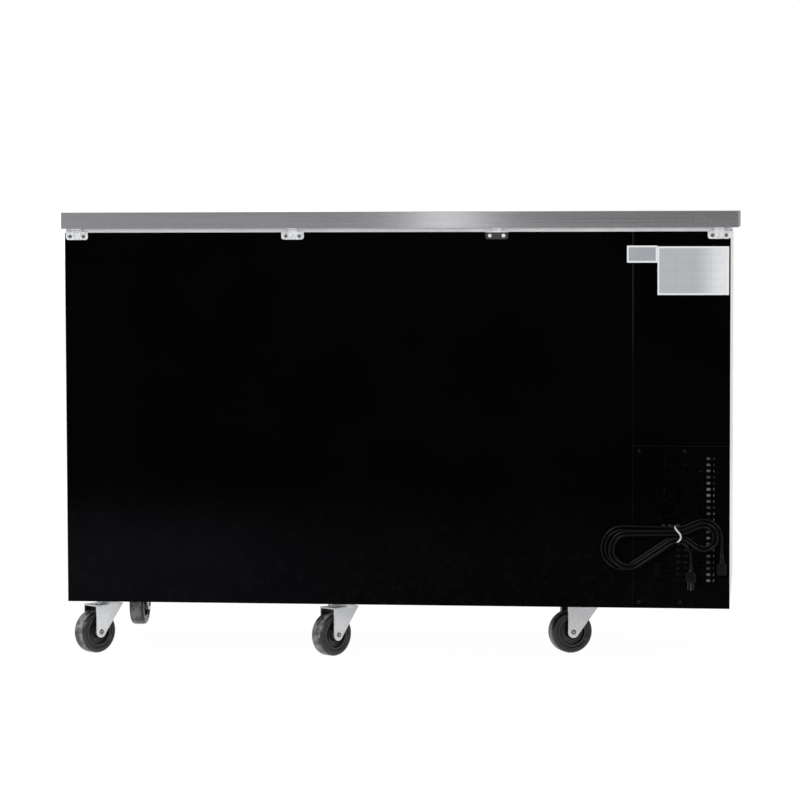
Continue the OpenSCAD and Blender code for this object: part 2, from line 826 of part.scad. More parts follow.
module refrigerant_lines() {
    z0 = z_base + base_t;
    color("#b87333") {
        tube([[bay_mid + 30, comp_y - 78.8, z0 + 110], [bay_mid + 30, comp_y - 95, z0 + 110],
              [bay_mid + 34, comp_y - 112, z0 + 118], [bay_mid + 52, comp_y - 122, z0 + 160],
              [bay_mid + 78, comp_y - 124, z0 + 230], [bay_mid + 80, comp_y - 126, z0 + 340],
              [bay_mid + 80, comp_y - 140, z0 + 390], [bay_mid + 78, comp_y - 190, z0 + 406],
              [bay_mid + 76, coil_y1 + 40, z0 + 406], [bay_mid + 75, coil_y1 - 6, z0 + 396],
              [bay_mid + 75, coil_y1 - 35, z0 + 366], [bay_mid + 75, coil_y1 - 36, z0 + 336],
              [bay_mid + 75, coil_y1 - 36, z0 + 310]], 4, 8);
        tube([[bay_mid - 30, comp_y - 78.8, z0 + 110], [bay_mid - 30, comp_y - 92, z0 + 110],
              [bay_mid - 30, comp_y - 104, z0 + 120], [bay_mid - 26, comp_y - 108, z0 + 170],
              [bay_mid - 10, comp_y - 100, z0 + 290], [bay_mid + 10, comp_y - 70, z0 + 390],
              [bay_mid + 40, line_y + 6, z0 + 426], [bay_mid + 66, line_y, line_z],
              [bay_x1 - 20, line_y, line_z], [cav_x0 + liner_t, line_y, line_z]], 5, 8);
    }
}

module drain_pan() {
    z0 = z_base + base_t;
    y0 = comp_y - 172;
    color("dimgray")
        difference() {
            box(bay_mid - 85, bay_mid + 85, y0, y0 + 80, z0, z0 + 34);
            box(bay_mid - 83, bay_mid + 83, y0 + 2, y0 + 78, z0 + 2, z0 + 40);
        }
}

module front_grille() {
    z0 = door_z0;
    z1 = door_z1;
    t = grille_t;
    color("#202020")
        difference() {
            box(body_x0, grille_x1, grille_y, y_front, z0, z1);
            box(body_x0 + t, grille_x1 - t, grille_y + t, y_front + 1, z0 + t, z1 - t);
            for (i = [0 : 31])
                box(bay_mid - 84, bay_mid + 80, grille_y - 1, grille_y + t + 1,
                    z0 + 50 + i * 20, z0 + 58 + i * 20);
            box(bay_mid - 66, bay_mid + 66, grille_y - 1, grille_y + t + 1, panel_z - 31, panel_z + 31);
        }
}

module control_panel() {
    color("#111111")
        difference() {
            union() {
                upright(grille_y - panel_t, grille_y)
                    for (s = [-1, 1]) {
                        translate([bay_mid, panel_z]) {
                            square([panel_w - 12, panel_h], center = true);
                            square([panel_w, panel_h - 12], center = true);
                            for (u = [-1, 1])
                                translate([s * (panel_w / 2 - 6), u * (panel_h / 2 - 6)])
                                    circle(6);
                        }
                    }
                box(bay_mid - 65, bay_mid + 65, grille_y - eps, grille_y + 28, panel_z - 30, panel_z + 30);
            }
            along_y(knob_x, panel_z, grille_y - 10, grille_y + 18, 6 + 2 * run_gap);
            box(switch_x - 6.5, switch_x + 6.5, grille_y - 10, grille_y + 8, panel_z - 11, panel_z + 11);
            along_x(grille_y - 1, panel_z, switch_x - 10, switch_x + 10, switch_pin + 2 * run_gap);
        }
}

module thermostat_knob() {
    y0 = grille_y - panel_t - 0.3;
    color("dimgray")
        difference() {
            union() {
                along_y(knob_x, panel_z, y0 - 3, y0, knob_d);
                along_y(knob_x, panel_z, y0 - knob_h, y0 - 3 + eps, knob_d - 6);
                along_y(knob_x, panel_z, y0 - eps, y0 + 18, 6);
            }
            box(knob_x - 1, knob_x + 1, y0 - knob_h - 1, y0 - knob_h + 1, panel_z + 3, panel_z + 20);
        }
}

module power_switch() {
    color("firebrick")
        translate([switch_x, grille_y - 1, panel_z])
            rotate([-10, 0, 0]) {
                rotate([0, 90, 0])
                    translate([0, 0, -6])
                        linear_extrude(12)
                            polygon([[-9.6, -6.2], [0, -4.4], [9.6, -6.2], [9.6, -1], [5, 4], [-5, 4],
                                     [-9.6, -1]]);
                rotate([0, 90, 0])
                    translate([0, 0, -9])
                        cylinder(h = 18, d = switch_pin);
            }
}

module cord_gland() {
    color("#101010") {
        along_y(gland_x, gland_z0 + 13, y_rear - 9, y_rear + eps, gland_hole);
        box(gland_x - 11, gland_x + 11, y_rear, y_rear + 15, gland_z0, gland_z0 + 26);
        translate([gland_x, lead_y, gland_z0 + 26 - eps])
            cylinder(h = 26 + eps, d1 = 14, d2 = cord_d + 2);
    }
}

module power_cord() {
    color("#0c0c0c")
        tube(cord_path, cord_d / 2, 6);
}

module cord_tie() {
    y1 = hank_y2 + cord_d / 2 + 0.6;
    yb = y_rear - skin_t - tie_t;
    z0 = tie_z0 - tie_out + tie_t / 2;
    z1 = tie_z1 + tie_out - tie_t / 2;
    color("white")
        difference() {
            box(hank_x - tie_w / 2, hank_x + tie_w / 2, yb - tie_t, y1 + tie_t,
                z0 - tie_t, z1 + tie_t);
            box(hank_x - tie_w, hank_x + tie_w, yb, y1, z0, z1);
        }
}

module power_plug() {
    z1 = tail_p[2] - tail_l;
    color("#141414") {
        union() {
            translate([tail_p[0], tail_p[1], z1 - 22])
                cylinder(h = 22, d1 = 14, d2 = cord_d + 2);
            translate([tail_p[0], tail_p[1], z1 - 44]) {
                linear_extrude(23) {
                    square([28, 12], center = true);
                    square([22, 18], center = true);
                    for (sx = [-1, 1])
                        for (sy = [-1, 1])
                            translate([sx * 11, sy * 6])
                                circle(3);
                }
                for (s = [-1, 1])
                    box(s * 6.35 - 0.75, s * 6.35 + 0.75, -1, 5.3, -17, 1);
                translate([0, -6, -20])
                    cylinder(h = 21, d = 4.8);
            }
        }
    }
}

// One door: 0 is hinged beside the machine bay, 1 at the far end
function door_x(i) = i == 0 ? door_x0 : door_x1 - door_w;
function handle_x(i) = i == 0 ? door_x0 + door_w - handle_edge - handle_w : door_x1 - door_w + handle_edge;

module pin_bores(i) {
    d = hinge_pin_d + 2 * run_gap;
    for (z = [door_z0 - 1, door_z1 - pin_len - 0.5])
        translate([hinge_x[i], hinge_y, z])
            cylinder(h = pin_len + 1.5, d = d);
}

module handle_cut(i, grow, y1) {
    box(handle_x(i) - grow, handle_x(i) + handle_w + grow, door_front - 1, y1,
        handle_z0 - grow, handle_z0 + handle_h + grow);
}

module door_skin(i) {
    x = door_x(i);
    t = skin_t;
    color("#1c1c1c")
        difference() {
            box(x, x + door_w, door_front, door_back, door_z0, door_z1);
            box(x + t, x + door_w - t, door_front + t, door_back + 1, door_z0 + t, door_z1 - t);
            handle_cut(i, 0, door_front + 2);
            pin_bores(i);
        }
}

module door_liner(i) {
    x = door_x(i);
    t = skin_t;
    color("whitesmoke")
        difference() {
            box(x + t, x + door_w - t, door_front + t, door_back, door_z0 + t, door_z1 - t);
            handle_cut(i, 0, door_front + handle_d);
            pin_bores(i);
        }
}

module door_gasket(i) {
    a = gasket_in;
    b = gasket_in + gasket_w;
    x = door_x(i);
    color("dimgray")
        difference() {
            box(x + a, x + door_w - a, door_back, frame_front - soft_gap, door_z0 + a, door_z1 - a);
            box(x + b, x + door_w - b, door_back - 1, frame_front + 1, door_z0 + b, door_z1 - b);
        }
}

module door_handle(i) {
    x = handle_x(i);
    w = 2.5;
    lip = 15;
    lip_x = i == 0 ? x + handle_w - lip : x;
    color("#0e0e0e")
        union() {
            difference() {
                box(x, x + handle_w, door_front - 1.5, door_front + handle_d,
                    handle_z0, handle_z0 + handle_h);
                box(x + w, x + handle_w - w, door_front - 5, door_front + handle_d - w,
                    handle_z0 + w, handle_z0 + handle_h - w);
            }
            difference() {
                box(x - 4, x + handle_w + 4, door_front - 1.5, door_front, handle_z0 - 4,
                    handle_z0 + handle_h + 4);
                box(x + 1, x + handle_w - 1, door_front - 5, door_front + 5, handle_z0 + 1,
                    handle_z0 + handle_h - 1);
            }
            box(lip_x, lip_x + lip, door_front - 1.5, door_front + 1.5, handle_z0 + 1,
                handle_z0 + handle_h - 1);
        }
}

module caster_plates() {
    x = 47.5;
    y = 33.5;
    r = 6;
    color("silver")
        for (c = CASTERS)
            translate([c[1], c[2], 0])
                difference() {
                    union() {
                        translate([0, 0, z_base - caster_top])
                            linear_extrude(caster_top) {
                                square([2 * x - 2 * r, 2 * y], center = true);
                                square([2 * x, 2 * y - 2 * r], center = true);
                                for (sx = [-1, 1])
                                    for (sy = [-1, 1])
                                        translate([sx * (x - r), sy * (y - r)])
                                            circle(r);
                            }
                        translate([0, 0, race_z])
                            cylinder(h = 5 + eps, d = race_d);
                        translate([0, 0, crown_z - 3.3])
                            cylinder(h = z_base - caster_top - crown_z + 3.3, d = king_d);
                        translate([0, 0, crown_z - 3.3])
                            cylinder(h = 3, d = king_d + 10);
                    }
                    for (sx = [-1, 1])
                        for (sy = [-1, 1])
                            translate([sx * bolt_x, sy * bolt_y, z_base - caster_top - 1])
                                cylinder(h = caster_top + 2, d = 8.6);
                }
}

module caster_bolts() {
    color("gray")
        for (c = CASTERS)
            for (sx = [-1, 1])
                for (sy = [-1, 1])
                    translate([c[1] + sx * bolt_x, c[2] + sy * bolt_y, z_base - caster_top])
                        union() {
                            translate([0, 0, -4.6])
                                cylinder(h = 4.6, d = 15, $fn = 6);
                            translate([0, 0, -eps])
                                cylinder(h = caster_top + base_t, d = 8);
                        }
}

// Places a caster piece: local X points the way the axle trails
module at_caster(c) {
    translate([c[1], c[2], 0])
        rotate([0, 0, c[3]])
            children();
}

module leg_shape() {
    back = [-leg_back, crown_z + fork_t];
    r = leg_r - 0.4;
    away = back - [trail, axle_z];
    a = atan2(away[1], away[0]) + acos(r / norm(away));
    polygon([back, [trail + r, crown_z + fork_t], [trail + r, axle_z], [trail, axle_z],
             [trail + r * cos(a), axle_z + r * sin(a)]]);
    translate([trail, axle_z])
        circle(leg_r);
}

module caster_fork(c, braked) {
    color("silver")
        at_caster(c) {
            difference() {
                union() {
                    translate([2 - leg_back, -fork_out, crown_z])
                        cube([trail + leg_r + leg_back - 2, 2 * fork_out, fork_t]);
                    translate([0, 0, crown_z])
                        cylinder(h = race_z - 0.3 - crown_z, d = race_d - 2);
                    upright(fork_in, fork_out)
                        leg_shape();
                    upright(-fork_out, -fork_in)
                        leg_shape();
                }
                translate([0, 0, crown_z - 5])
                    cylinder(h = 40, d = king_d + 2 * run_gap);
                along_y(trail, axle_z, -fork_out - 1, fork_out + 1, axle_d + 2 * run_gap);
                if (braked)
                    along_y(brake_t, brake_z, -fork_out - 1, fork_out + 1, brake_pin + 2 * run_gap);
            }
            union() {
                along_y(trail, axle_z, -fork_out - 1, fork_out + 1, axle_d);
                along_y(trail, axle_z, fork_out + run_gap, fork_out + run_gap + rivet_h, rivet_d);
                along_y(trail, axle_z, -fork_out - run_gap - rivet_h, -fork_out - run_gap, rivet_d);
            }
        }
}

module caster_wheel(c) {
    r = wheel_d / 2;
    w = wheel_w / 2;
    b = axle_d / 2 + run_gap;
    at_caster(c)
        translate([trail, 0, axle_z])
            rotate([-90, 0, 0]) {
                color("#303030")
                    rotate_extrude()
                        polygon([[b, -fork_in + 0.5], [13, -fork_in + 0.5], [14, -w], [16, -8], [29, -8],
                                 [30, -w + 2], [36, -w + 2], [36, w - 2], [30, w - 2], [29, 8], [16, 8],
                                 [14, w], [13, fork_in - 0.5], [b, fork_in - 0.5]]);
                color("#1e1e1e")
                    rotate_extrude()
                        polygon([[36.1, -w + 1], [37.5, -w], [r - 6, -w], [r - 2.4, -w + 2],
                                 [r - 0.6, -w + 5.4], [r, -w + 10], [r, w - 10],
                                 [r - 0.6, w - 5.4], [r - 2.4, w - 2], [r - 6, w],
                                 [37.5, w], [36.1, w - 1]]);
            }
}

module caster_brake(c) {
    color("firebrick")
        at_caster(c)
            union() {
                along_y(brake_t, brake_z, -fork_out - 0.5, fork_out + 0.5, brake_pin);
                along_y(brake_t, brake_z, -fork_in + 2, fork_in - 2, 7);
                box(brake_t, 94, -15, 15, brake_z - 1.5, brake_z + 1.5);
                box(47, 53, -12, 12, axle_z + 51, brake_z);
                box(70, 94, -17, 17, brake_z - 1.5, brake_z + 4);
            }
}

countertop();
counter_core();
counter_brackets();
bracket_screws();
rear_panel();
side_panel_left();
side_panel_right();
bay_rear_panel();
vent_panel();
panel_screws();
rating_plates();
base_frame();
cabinet_foam();
inner_liner();
face_frame();
hinge_brackets();
wire_shelves();
shelf_supports();
evaporator_cover();
evaporator_coil();
evaporator_motor();
evaporator_fan();
compressor();
condenser_coil();
condenser_motor();
condenser_fan();
refrigerant_lines();
drain_pan();
front_grille();
control_panel();
thermostat_knob();
power_switch();
cord_gland();
power_cord();
cord_tie();
power_plug();
door_skin(0);  // door_left_skin
door_liner(0);  // door_left_liner
door_gasket(0);  // door_left_gasket
door_handle(0);  // door_left_handle
door_skin(1);  // door_right_skin
door_liner(1);  // door_right_liner
door_gasket(1);  // door_right_gasket
door_handle(1);  // door_right_handle
caster_plates();
caster_bolts();
caster_fork(CASTERS[0], false);  // fork_rear_right
caster_fork(CASTERS[1], false);  // fork_rear_middle
caster_fork(CASTERS[2], false);  // fork_rear_left
caster_fork(CASTERS[3], true);  // fork_front_right
caster_fork(CASTERS[4], false);  // fork_front_middle
caster_fork(CASTERS[5], true);  // fork_front_left
caster_wheel(CASTERS[0]);  // wheel_rear_right
caster_wheel(CASTERS[1]);  // wheel_rear_middle
caster_wheel(CASTERS[2]);  // wheel_rear_left
caster_wheel(CASTERS[3]);  // wheel_front_right
caster_wheel(CASTERS[4]);  // wheel_front_middle
caster_wheel(CASTERS[5]);  // wheel_front_left
caster_brake(CASTERS[3]);  // brake_front_right
caster_brake(CASTERS[5]);  // brake_front_left
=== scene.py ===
"""Looks of a black under counter fridge on casters, with the camera behind it.

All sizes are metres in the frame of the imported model: X along the counter, doors at -Y, Z up.
"""
import json
import math

import bmesh
import bpy
import numpy as np
from mathutils import Matrix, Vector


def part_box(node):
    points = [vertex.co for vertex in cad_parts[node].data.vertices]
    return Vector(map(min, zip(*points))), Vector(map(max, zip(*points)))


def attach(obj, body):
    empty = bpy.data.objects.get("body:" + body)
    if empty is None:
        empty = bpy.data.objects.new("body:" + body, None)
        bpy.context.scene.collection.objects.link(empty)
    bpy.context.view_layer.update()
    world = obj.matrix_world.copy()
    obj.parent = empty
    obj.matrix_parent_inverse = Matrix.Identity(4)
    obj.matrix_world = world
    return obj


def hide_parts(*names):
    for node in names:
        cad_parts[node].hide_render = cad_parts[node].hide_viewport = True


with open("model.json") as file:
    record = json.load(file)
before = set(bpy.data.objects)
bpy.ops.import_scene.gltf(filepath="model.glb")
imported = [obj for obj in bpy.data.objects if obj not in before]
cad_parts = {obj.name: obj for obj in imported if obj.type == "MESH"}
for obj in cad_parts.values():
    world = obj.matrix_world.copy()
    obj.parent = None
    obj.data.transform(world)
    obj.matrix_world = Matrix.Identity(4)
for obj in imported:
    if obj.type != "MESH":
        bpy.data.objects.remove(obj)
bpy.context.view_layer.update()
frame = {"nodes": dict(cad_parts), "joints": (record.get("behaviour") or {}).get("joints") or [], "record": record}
nodes = frame["nodes"]
scene = bpy.context.scene
scene.view_settings.view_transform = "Standard"
joints = {row["name"]: row for row in frame["joints"]}
MM = 0.001
COUNTER_END, _, COUNTER_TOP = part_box("countertop")[1]
REAR = round(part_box("rear_panel")[1][1] / MM, 3)

# Shells: arrays of points and faces


def grid_shell(points, close_u=False, close_v=False):
    """A grid of points (u, v, xyz) as quads: each point joins the next along u and along v,
    and a closed direction joins its last row to its first."""
    nu, nv = points.shape[:2]
    i, j = np.meshgrid(np.arange(nu if close_u else nu - 1),
                       np.arange(nv if close_v else nv - 1), indexing="ij")
    k, m = (i + 1) % nu, (j + 1) % nv
    quads = np.stack([i * nv + j, k * nv + j, k * nv + m, i * nv + m], -1).reshape(-1, 4)
    return points.reshape(-1, 3), quads


def frames_along(path, up, closed=False):
    """Side and normal directions along a path: tangent by differences, side = tangent x up,
    normal = tangent x side."""
    if closed:
        tangent = np.roll(path, -1, 0) - np.roll(path, 1, 0)
    else:
        tangent = np.gradient(path, axis=0)
    tangent /= np.linalg.norm(tangent, axis=1, keepdims=True)
    side = np.cross(tangent, np.broadcast_to(np.asarray(up, float), path.shape))
    side /= np.linalg.norm(side, axis=1, keepdims=True)
    return side, np.cross(tangent, side)


def swept_shell(path, profile, up, closed=False):
    """A closed profile (a, b) carried along a path: point = path + a * side + b * normal.
    Open ends shrink to the path's own end point, which closes them."""
    side, normal = frames_along(path, up, closed)
    pts = path[:, None] + profile[:, :1] * side[:, None] + profile[:, 1:2] * normal[:, None]
    if not closed:
        first = np.broadcast_to(path[:1, None], pts[:1].shape)
        last = np.broadcast_to(path[-1:, None], pts[:1].shape)
        pts = np.concatenate([first, pts, last])
    return grid_shell(pts, closed, True)


def turned_shell(profile, centre, axis, n):
    """A profile (radius, height) turned about an axis through centre in n steps; a radius of zero
    closes it."""
    axis = np.asarray(axis, float) / np.linalg.norm(axis)
    ref = np.array([1.0, 0, 0]) if abs(axis[0]) < 0.9 else np.array([0, 1.0, 0])
    a = np.cross(axis, ref)
    a /= np.linalg.norm(a)
    b = np.cross(axis, a)
    t = np.linspace(0, 2 * np.pi, n, endpoint=False)
    prof = np.asarray(profile, float)
    ring = np.cos(t)[:, None] * a + np.sin(t)[:, None] * b
    pts = np.asarray(centre) + prof[:, None, :1] * ring + prof[:, None, 1:2] * axis
    return grid_shell(pts, False, True)


def rounded_rect(w, h, r, n=5):
    """Outline of a rectangle w by h with corner arcs of radius r, n + 1 points to a corner."""
    t = np.linspace(0, np.pi / 2, n + 1)
    arc = np.stack([np.cos(t), np.sin(t)], -1) * r
    quarter = np.array([[w / 2 - r, h / 2 - r]])
    turns = [arc + quarter, arc[::-1] * [-1, 1] + quarter * [-1, 1],
             -arc - quarter, arc[::-1] * [1, -1] + quarter * [1, -1]]
    return np.concatenate(turns)


def lofted_block(sections, place):
    """Outlines (a, b) at heights, joined in order and closed at both ends.
    place turns (a, b, height) into a point of the model."""
    pts = np.stack([np.concatenate([o, np.full((len(o), 1), h)], 1) for o, h in sections])
    caps = pts[[0, -1]] * [0, 0, 1] + pts[[0, -1]].mean(1, keepdims=True) * [1, 1, 0]
    pts = np.concatenate([caps[:1], pts, caps[1:]])
    return grid_shell(place(pts), False, True)


def joined(shells):
    """Several shells as one list of points and one list of faces."""
    starts = np.cumsum([0] + [len(p) for p, _ in shells[:-1]])
    quads = [q + start for (_, q), start in zip(shells, starts)]
    return np.concatenate([p for p, _ in shells]), np.concatenate(quads)


def shell_object(name, shells, material, sharp=35):
    """One object from shells: doubles merged at the poles, faces turned outwards, edges over
    the angle sharp kept crisp."""
    points, quads = joined(shells if isinstance(shells, list) else [shells])
    mesh = bpy.data.meshes.new(name)
    mesh.from_pydata(points.tolist(), [], quads.tolist())
    bm = bmesh.new()
    bm.from_mesh(mesh)
    bmesh.ops.remove_doubles(bm, verts=bm.verts, dist=2e-6)
    bmesh.ops.recalc_face_normals(bm, faces=bm.faces)
    bm.to_mesh(mesh)
    bm.free()
    mesh.polygons.foreach_set("use_smooth", np.ones(len(mesh.polygons), bool))
    mesh.set_sharp_from_angle(angle=math.radians(sharp))
    mesh.materials.append(material)
    obj = bpy.data.objects.new(name, mesh)
    scene.collection.objects.link(obj)
    return obj


def piece(name, shells, material, slot, body="cabinet", replaces=(), sharp=35):
    """An object from shells that rides on a body and stands in for the solids it replaces. Its slot is not used.
    """
    obj = shell_object(name, shells, material, sharp)
    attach(obj, body)
    if replaces:
        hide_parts(*replaces)
    return obj


# Node helpers


class Graph:
    """Short calls for making and linking nodes in one tree."""

    def __init__(self, tree):
        self.tree = tree

    def node(self, kind, inputs=None, **props):
        """A new node with its properties and inputs set."""
        made = self.tree.nodes.new(kind)
        for key, value in props.items():
            setattr(made, key, value)
        for key, value in (inputs or {}).items():
            self.set(made.inputs[key], value)
        return made

    def set(self, socket, value):
        """Links an output to a socket, or gives the socket a fixed value."""
        if isinstance(value, bpy.types.NodeSocket):
            self.tree.links.new(value, socket)
        else:
            socket.default_value = value

    def math(self, op, a, b=0.0, c=0.0, clamp=False):
        """One arithmetic step on up to three values."""
        made = self.node("ShaderNodeMath", operation=op, use_clamp=clamp)
        for socket, value in zip(made.inputs, (a, b, c)):
            self.set(socket, value)
        return made.outputs[0]

    def ramp(self, value, low, high, to_low=0.0, to_high=1.0, smooth=True):
        """A value from low to high carried over to to_low to to_high, and held beyond them."""
        made = self.node("ShaderNodeMapRange", {"Value": value, "From Min": low, "From Max": high,
                                                "To Min": to_low, "To Max": to_high},
                         interpolation_type="SMOOTHSTEP" if smooth else "LINEAR")
        return made.outputs["Result"]

    def mix(self, factor, a, b):
        """Colour a where the factor is 0, colour b where it is 1."""
        made = self.node("ShaderNodeMix", data_type="RGBA")
        self.set(made.inputs[0], factor)
        self.set(made.inputs[6], a if isinstance(a, bpy.types.NodeSocket) else (*a, 1))
        self.set(made.inputs[7], b if isinstance(b, bpy.types.NodeSocket) else (*b, 1))
        return made.outputs[2]

    def noise(self, vector, scale, detail=2.0, rough=0.5):
        """Soft noise from 0 to 1 over the points of a vector."""
        made = self.node("ShaderNodeTexNoise", {"Vector": vector, "Scale": scale, "Detail": detail,
                                                "Roughness": rough})
        return made.outputs["Fac"]

    def stretch(self, vector, scale):
        """A vector scaled along each axis."""
        return self.node("ShaderNodeMapping", {"Vector": vector, "Scale": scale}).outputs[0]

    def place(self):
        """The point itself, in the object's own metres."""
        return self.node("ShaderNodeTexCoord").outputs["Object"]

    def split(self, vector):
        """The X, Y and Z of a vector."""
        return self.node("ShaderNodeSeparateXYZ", {"Vector": vector}).outputs


def effect_group(name, inputs, outputs, build):
    """A shader node group with named inputs and outputs; build wires it."""
    tree = bpy.data.node_groups.new(name, "ShaderNodeTree")
    for label, kind, default in inputs:
        socket = tree.interface.new_socket(label, in_out="INPUT", socket_type=kind)
        socket.default_value = default
    for label, kind in outputs:
        tree.interface.new_socket(label, in_out="OUTPUT", socket_type=kind)
    g = Graph(tree)
    entry = g.node("NodeGroupInput").outputs
    leave = g.node("NodeGroupOutput").inputs
    build(g, entry, leave)
    return tree


def wire_brushed(g, entry, leave):
    """Streaks: noise squeezed across the brushing and drawn out along it, at two widths."""
    place = g.place()
    fine = g.noise(g.stretch(place, entry["Fine"]), 1.0, 3.0)
    broad = g.noise(g.stretch(place, entry["Broad"]), 1.0, 2.0)
    streak = g.math("ADD", g.math("MULTIPLY", fine, 0.65), g.math("MULTIPLY", broad, 0.35))
    g.set(leave["Streak"], g.ramp(streak, 0.3, 0.7))
    g.set(leave["Height"], fine)


def wire_grain(g, entry, leave):
    """Moulded or sprayed grain: fine noise for the height, slow noise for uneven shine."""
    place = g.place()
    fine = g.noise(place, entry["Scale"], 2.0, 0.6)
    slow = g.noise(place, entry["Patch"], 3.0, 0.55)
    g.set(leave["Height"], fine)
    g.set(leave["Patch"], g.ramp(slow, 0.3, 0.7))


def wire_dust(g, entry, leave):
    """Dust and handling: broken patches that thicken towards the floor."""
    place = g.place()
    speck = g.ramp(g.noise(place, 60.0, 4.0, 0.65), 0.48, 0.75)
    low = g.ramp(g.split(place)["Z"], entry["Top"], entry["Bottom"])
    g.set(leave["Mask"], g.math("MULTIPLY", g.math("MULTIPLY", speck, low), entry["Amount"]))


def wire_spangle(g, entry, leave):
    """Zinc crystals: cells of slightly different shade, softened by a slow cloud."""
    place = g.place()
    cell = g.node("ShaderNodeTexVoronoi", {"Vector": place, "Scale": entry["Scale"]})
    shade = g.node("ShaderNodeSeparateColor", {"Color": cell.outputs["Color"]}).outputs[0]
    cloud = g.noise(place, 35.0, 3.0)
    g.set(leave["Shade"], g.math("ADD", g.math("MULTIPLY", shade, 0.5), g.math("MULTIPLY", cloud, 0.5)))


VEC, VAL = "NodeSocketVector", "NodeSocketFloat"
BRUSHED = effect_group("brushed_streaks", [("Fine", VEC, (3, 900, 900)), ("Broad", VEC, (1.2, 120, 120))],
                       [("Streak", VAL), ("Height", VAL)], wire_brushed)
GRAIN = effect_group("surface_grain", [("Scale", VAL, 900.0), ("Patch", VAL, 6.0)],
                     [("Height", VAL), ("Patch", VAL)], wire_grain)
DUST = effect_group("settled_dust", [("Top", VAL, 0.45), ("Bottom", VAL, 0.1), ("Amount", VAL, 0.3)],
                    [("Mask", VAL)], wire_dust)
SPANGLE = effect_group("zinc_spangle", [("Scale", VAL, 220.0)], [("Shade", VAL)], wire_spangle)


def finish(name, **shader):
    """A new material with its Principled shader, whose fixed values are set on its sockets."""
    made = bpy.data.materials.new(name)
    made.use_nodes = True
    g = Graph(made.node_tree)
    bsdf = made.node_tree.nodes["Principled BSDF"]
    for key, value in shader.items():
        socket = bsdf.inputs[key.replace("_", " ")]
        socket.default_value = (*value, 1) if isinstance(value, tuple) else value
    return made, g, bsdf


def grouped(g, tree, **values):
    """One of the shared effects, with its inputs set; gives its outputs."""
    made = g.node("ShaderNodeGroup")
    made.node_tree = tree
    for key, value in values.items():
        g.set(made.inputs[key], value)
    return made.outputs


def bumped(g, bsdf, height, strength, distance):
    """Raises the shader's normal by a height."""
    bump = g.node("ShaderNodeBump", {"Height": height, "Strength": strength, "Distance": distance})
    g.set(bsdf.inputs["Normal"], bump.outputs[0])


def brushed_metal(name, dark, light, rough, fine, broad, bump=0.12, worn=None):
    """Brushed sheet: colour and roughness follow the streaks, which also raise a faint bump.
    Above the height worn and at the two ends, the sheet is scoured duller, and the end faces are darkened as
    painted shade."""
    made, g, bsdf = finish(name, Metallic=1.0)
    streak = grouped(g, BRUSHED, Fine=fine, Broad=broad)
    patch = grouped(g, GRAIN, Scale=500.0, Patch=2.2)["Patch"]
    tone = g.math("ADD", g.math("MULTIPLY", streak["Streak"], 0.75), g.math("MULTIPLY", patch, 0.25))
    colour = g.mix(tone, dark, light)
    dull = g.ramp(streak["Streak"], 0, 1, rough[0], rough[1], False)
    if worn:
        scoured = g.math("MULTIPLY_ADD", patch, 0.06, 0.44)
        x, _, z = g.split(g.place())
        ends = g.ramp(g.math("ABSOLUTE", x), COUNTER_END - 0.0015, COUNTER_END - 0.0005)
        rubbed = g.math("MAXIMUM", g.ramp(z, worn - 0.001, worn), ends)
        dull = g.math("ADD", dull, g.math("MULTIPLY", rubbed, scoured))
        # Painted shade: the counter's end faces are darkened.
        colour = g.mix(ends, colour, tuple(0.45 * c for c in dark))
    g.set(bsdf.inputs["Base Color"], colour)
    g.set(bsdf.inputs["Roughness"], dull)
    bumped(g, bsdf, streak["Height"], bump, 0.0002)
    return made


# Heights between which the painted sheen on the rear panel sets in, and X between which it thickens.
SHEEN_Z, SHEEN_X = (0.43, 0.24), (-0.1, 0.62)


def sprayed_metal(name, dark, light, rough, grain=700.0, bump=0.06, dust=0.2, spec=0.5, top=0.5, painted_sheen=0.0):
    """Painted sheet: a fine orange peel, uneven shine, dust towards the floor, and a painted sheen, a faint pale
    blue tint low down that thickens towards +X."""
    made, g, bsdf = finish(name, Specular_IOR_Level=spec)
    out = grouped(g, GRAIN, Scale=grain, Patch=5.0)
    mask = grouped(g, DUST, Top=top, Bottom=0.1, Amount=dust)["Mask"]
    paint = g.mix(out["Patch"], dark, light)
    if painted_sheen:
        # Painted sheen: a faint pale blue tint, low down and thicker towards +X, stands in for a soft reflection.
        x, _, z = g.split(g.place())
        low = g.math("MULTIPLY", g.ramp(z, *SHEEN_Z), g.ramp(x, *SHEEN_X, 0.25, 1.0))
        paint = g.mix(g.math("MULTIPLY", low, painted_sheen), paint, (0.6, 0.6, 0.78))
    g.set(bsdf.inputs["Base Color"], g.mix(mask, paint, tuple(0.06 + 0.8 * c for c in light)))
    g.set(bsdf.inputs["Roughness"], g.math("ADD", g.ramp(out["Patch"], 0, 1, rough[0], rough[1], False),
                                           g.math("MULTIPLY", mask, 0.3), clamp=True))
    bumped(g, bsdf, out["Height"], bump, 0.0003)
    return made


def moulded(name, dark, light, rough, grain=1400.0, bump=0.15, spec=0.4, patch=12.0):
    """Moulded plastic or rubber: fine grain and a slow change of shade and shine."""
    made, g, bsdf = finish(name, Specular_IOR_Level=spec)
    out = grouped(g, GRAIN, Scale=grain, Patch=patch)
    g.set(bsdf.inputs["Base Color"], g.mix(out["Patch"], dark, light))
    g.set(bsdf.inputs["Roughness"], g.ramp(out["Patch"], 0, 1, rough[0], rough[1], False))
    bumped(g, bsdf, out["Height"], bump, 0.0003)
    return made


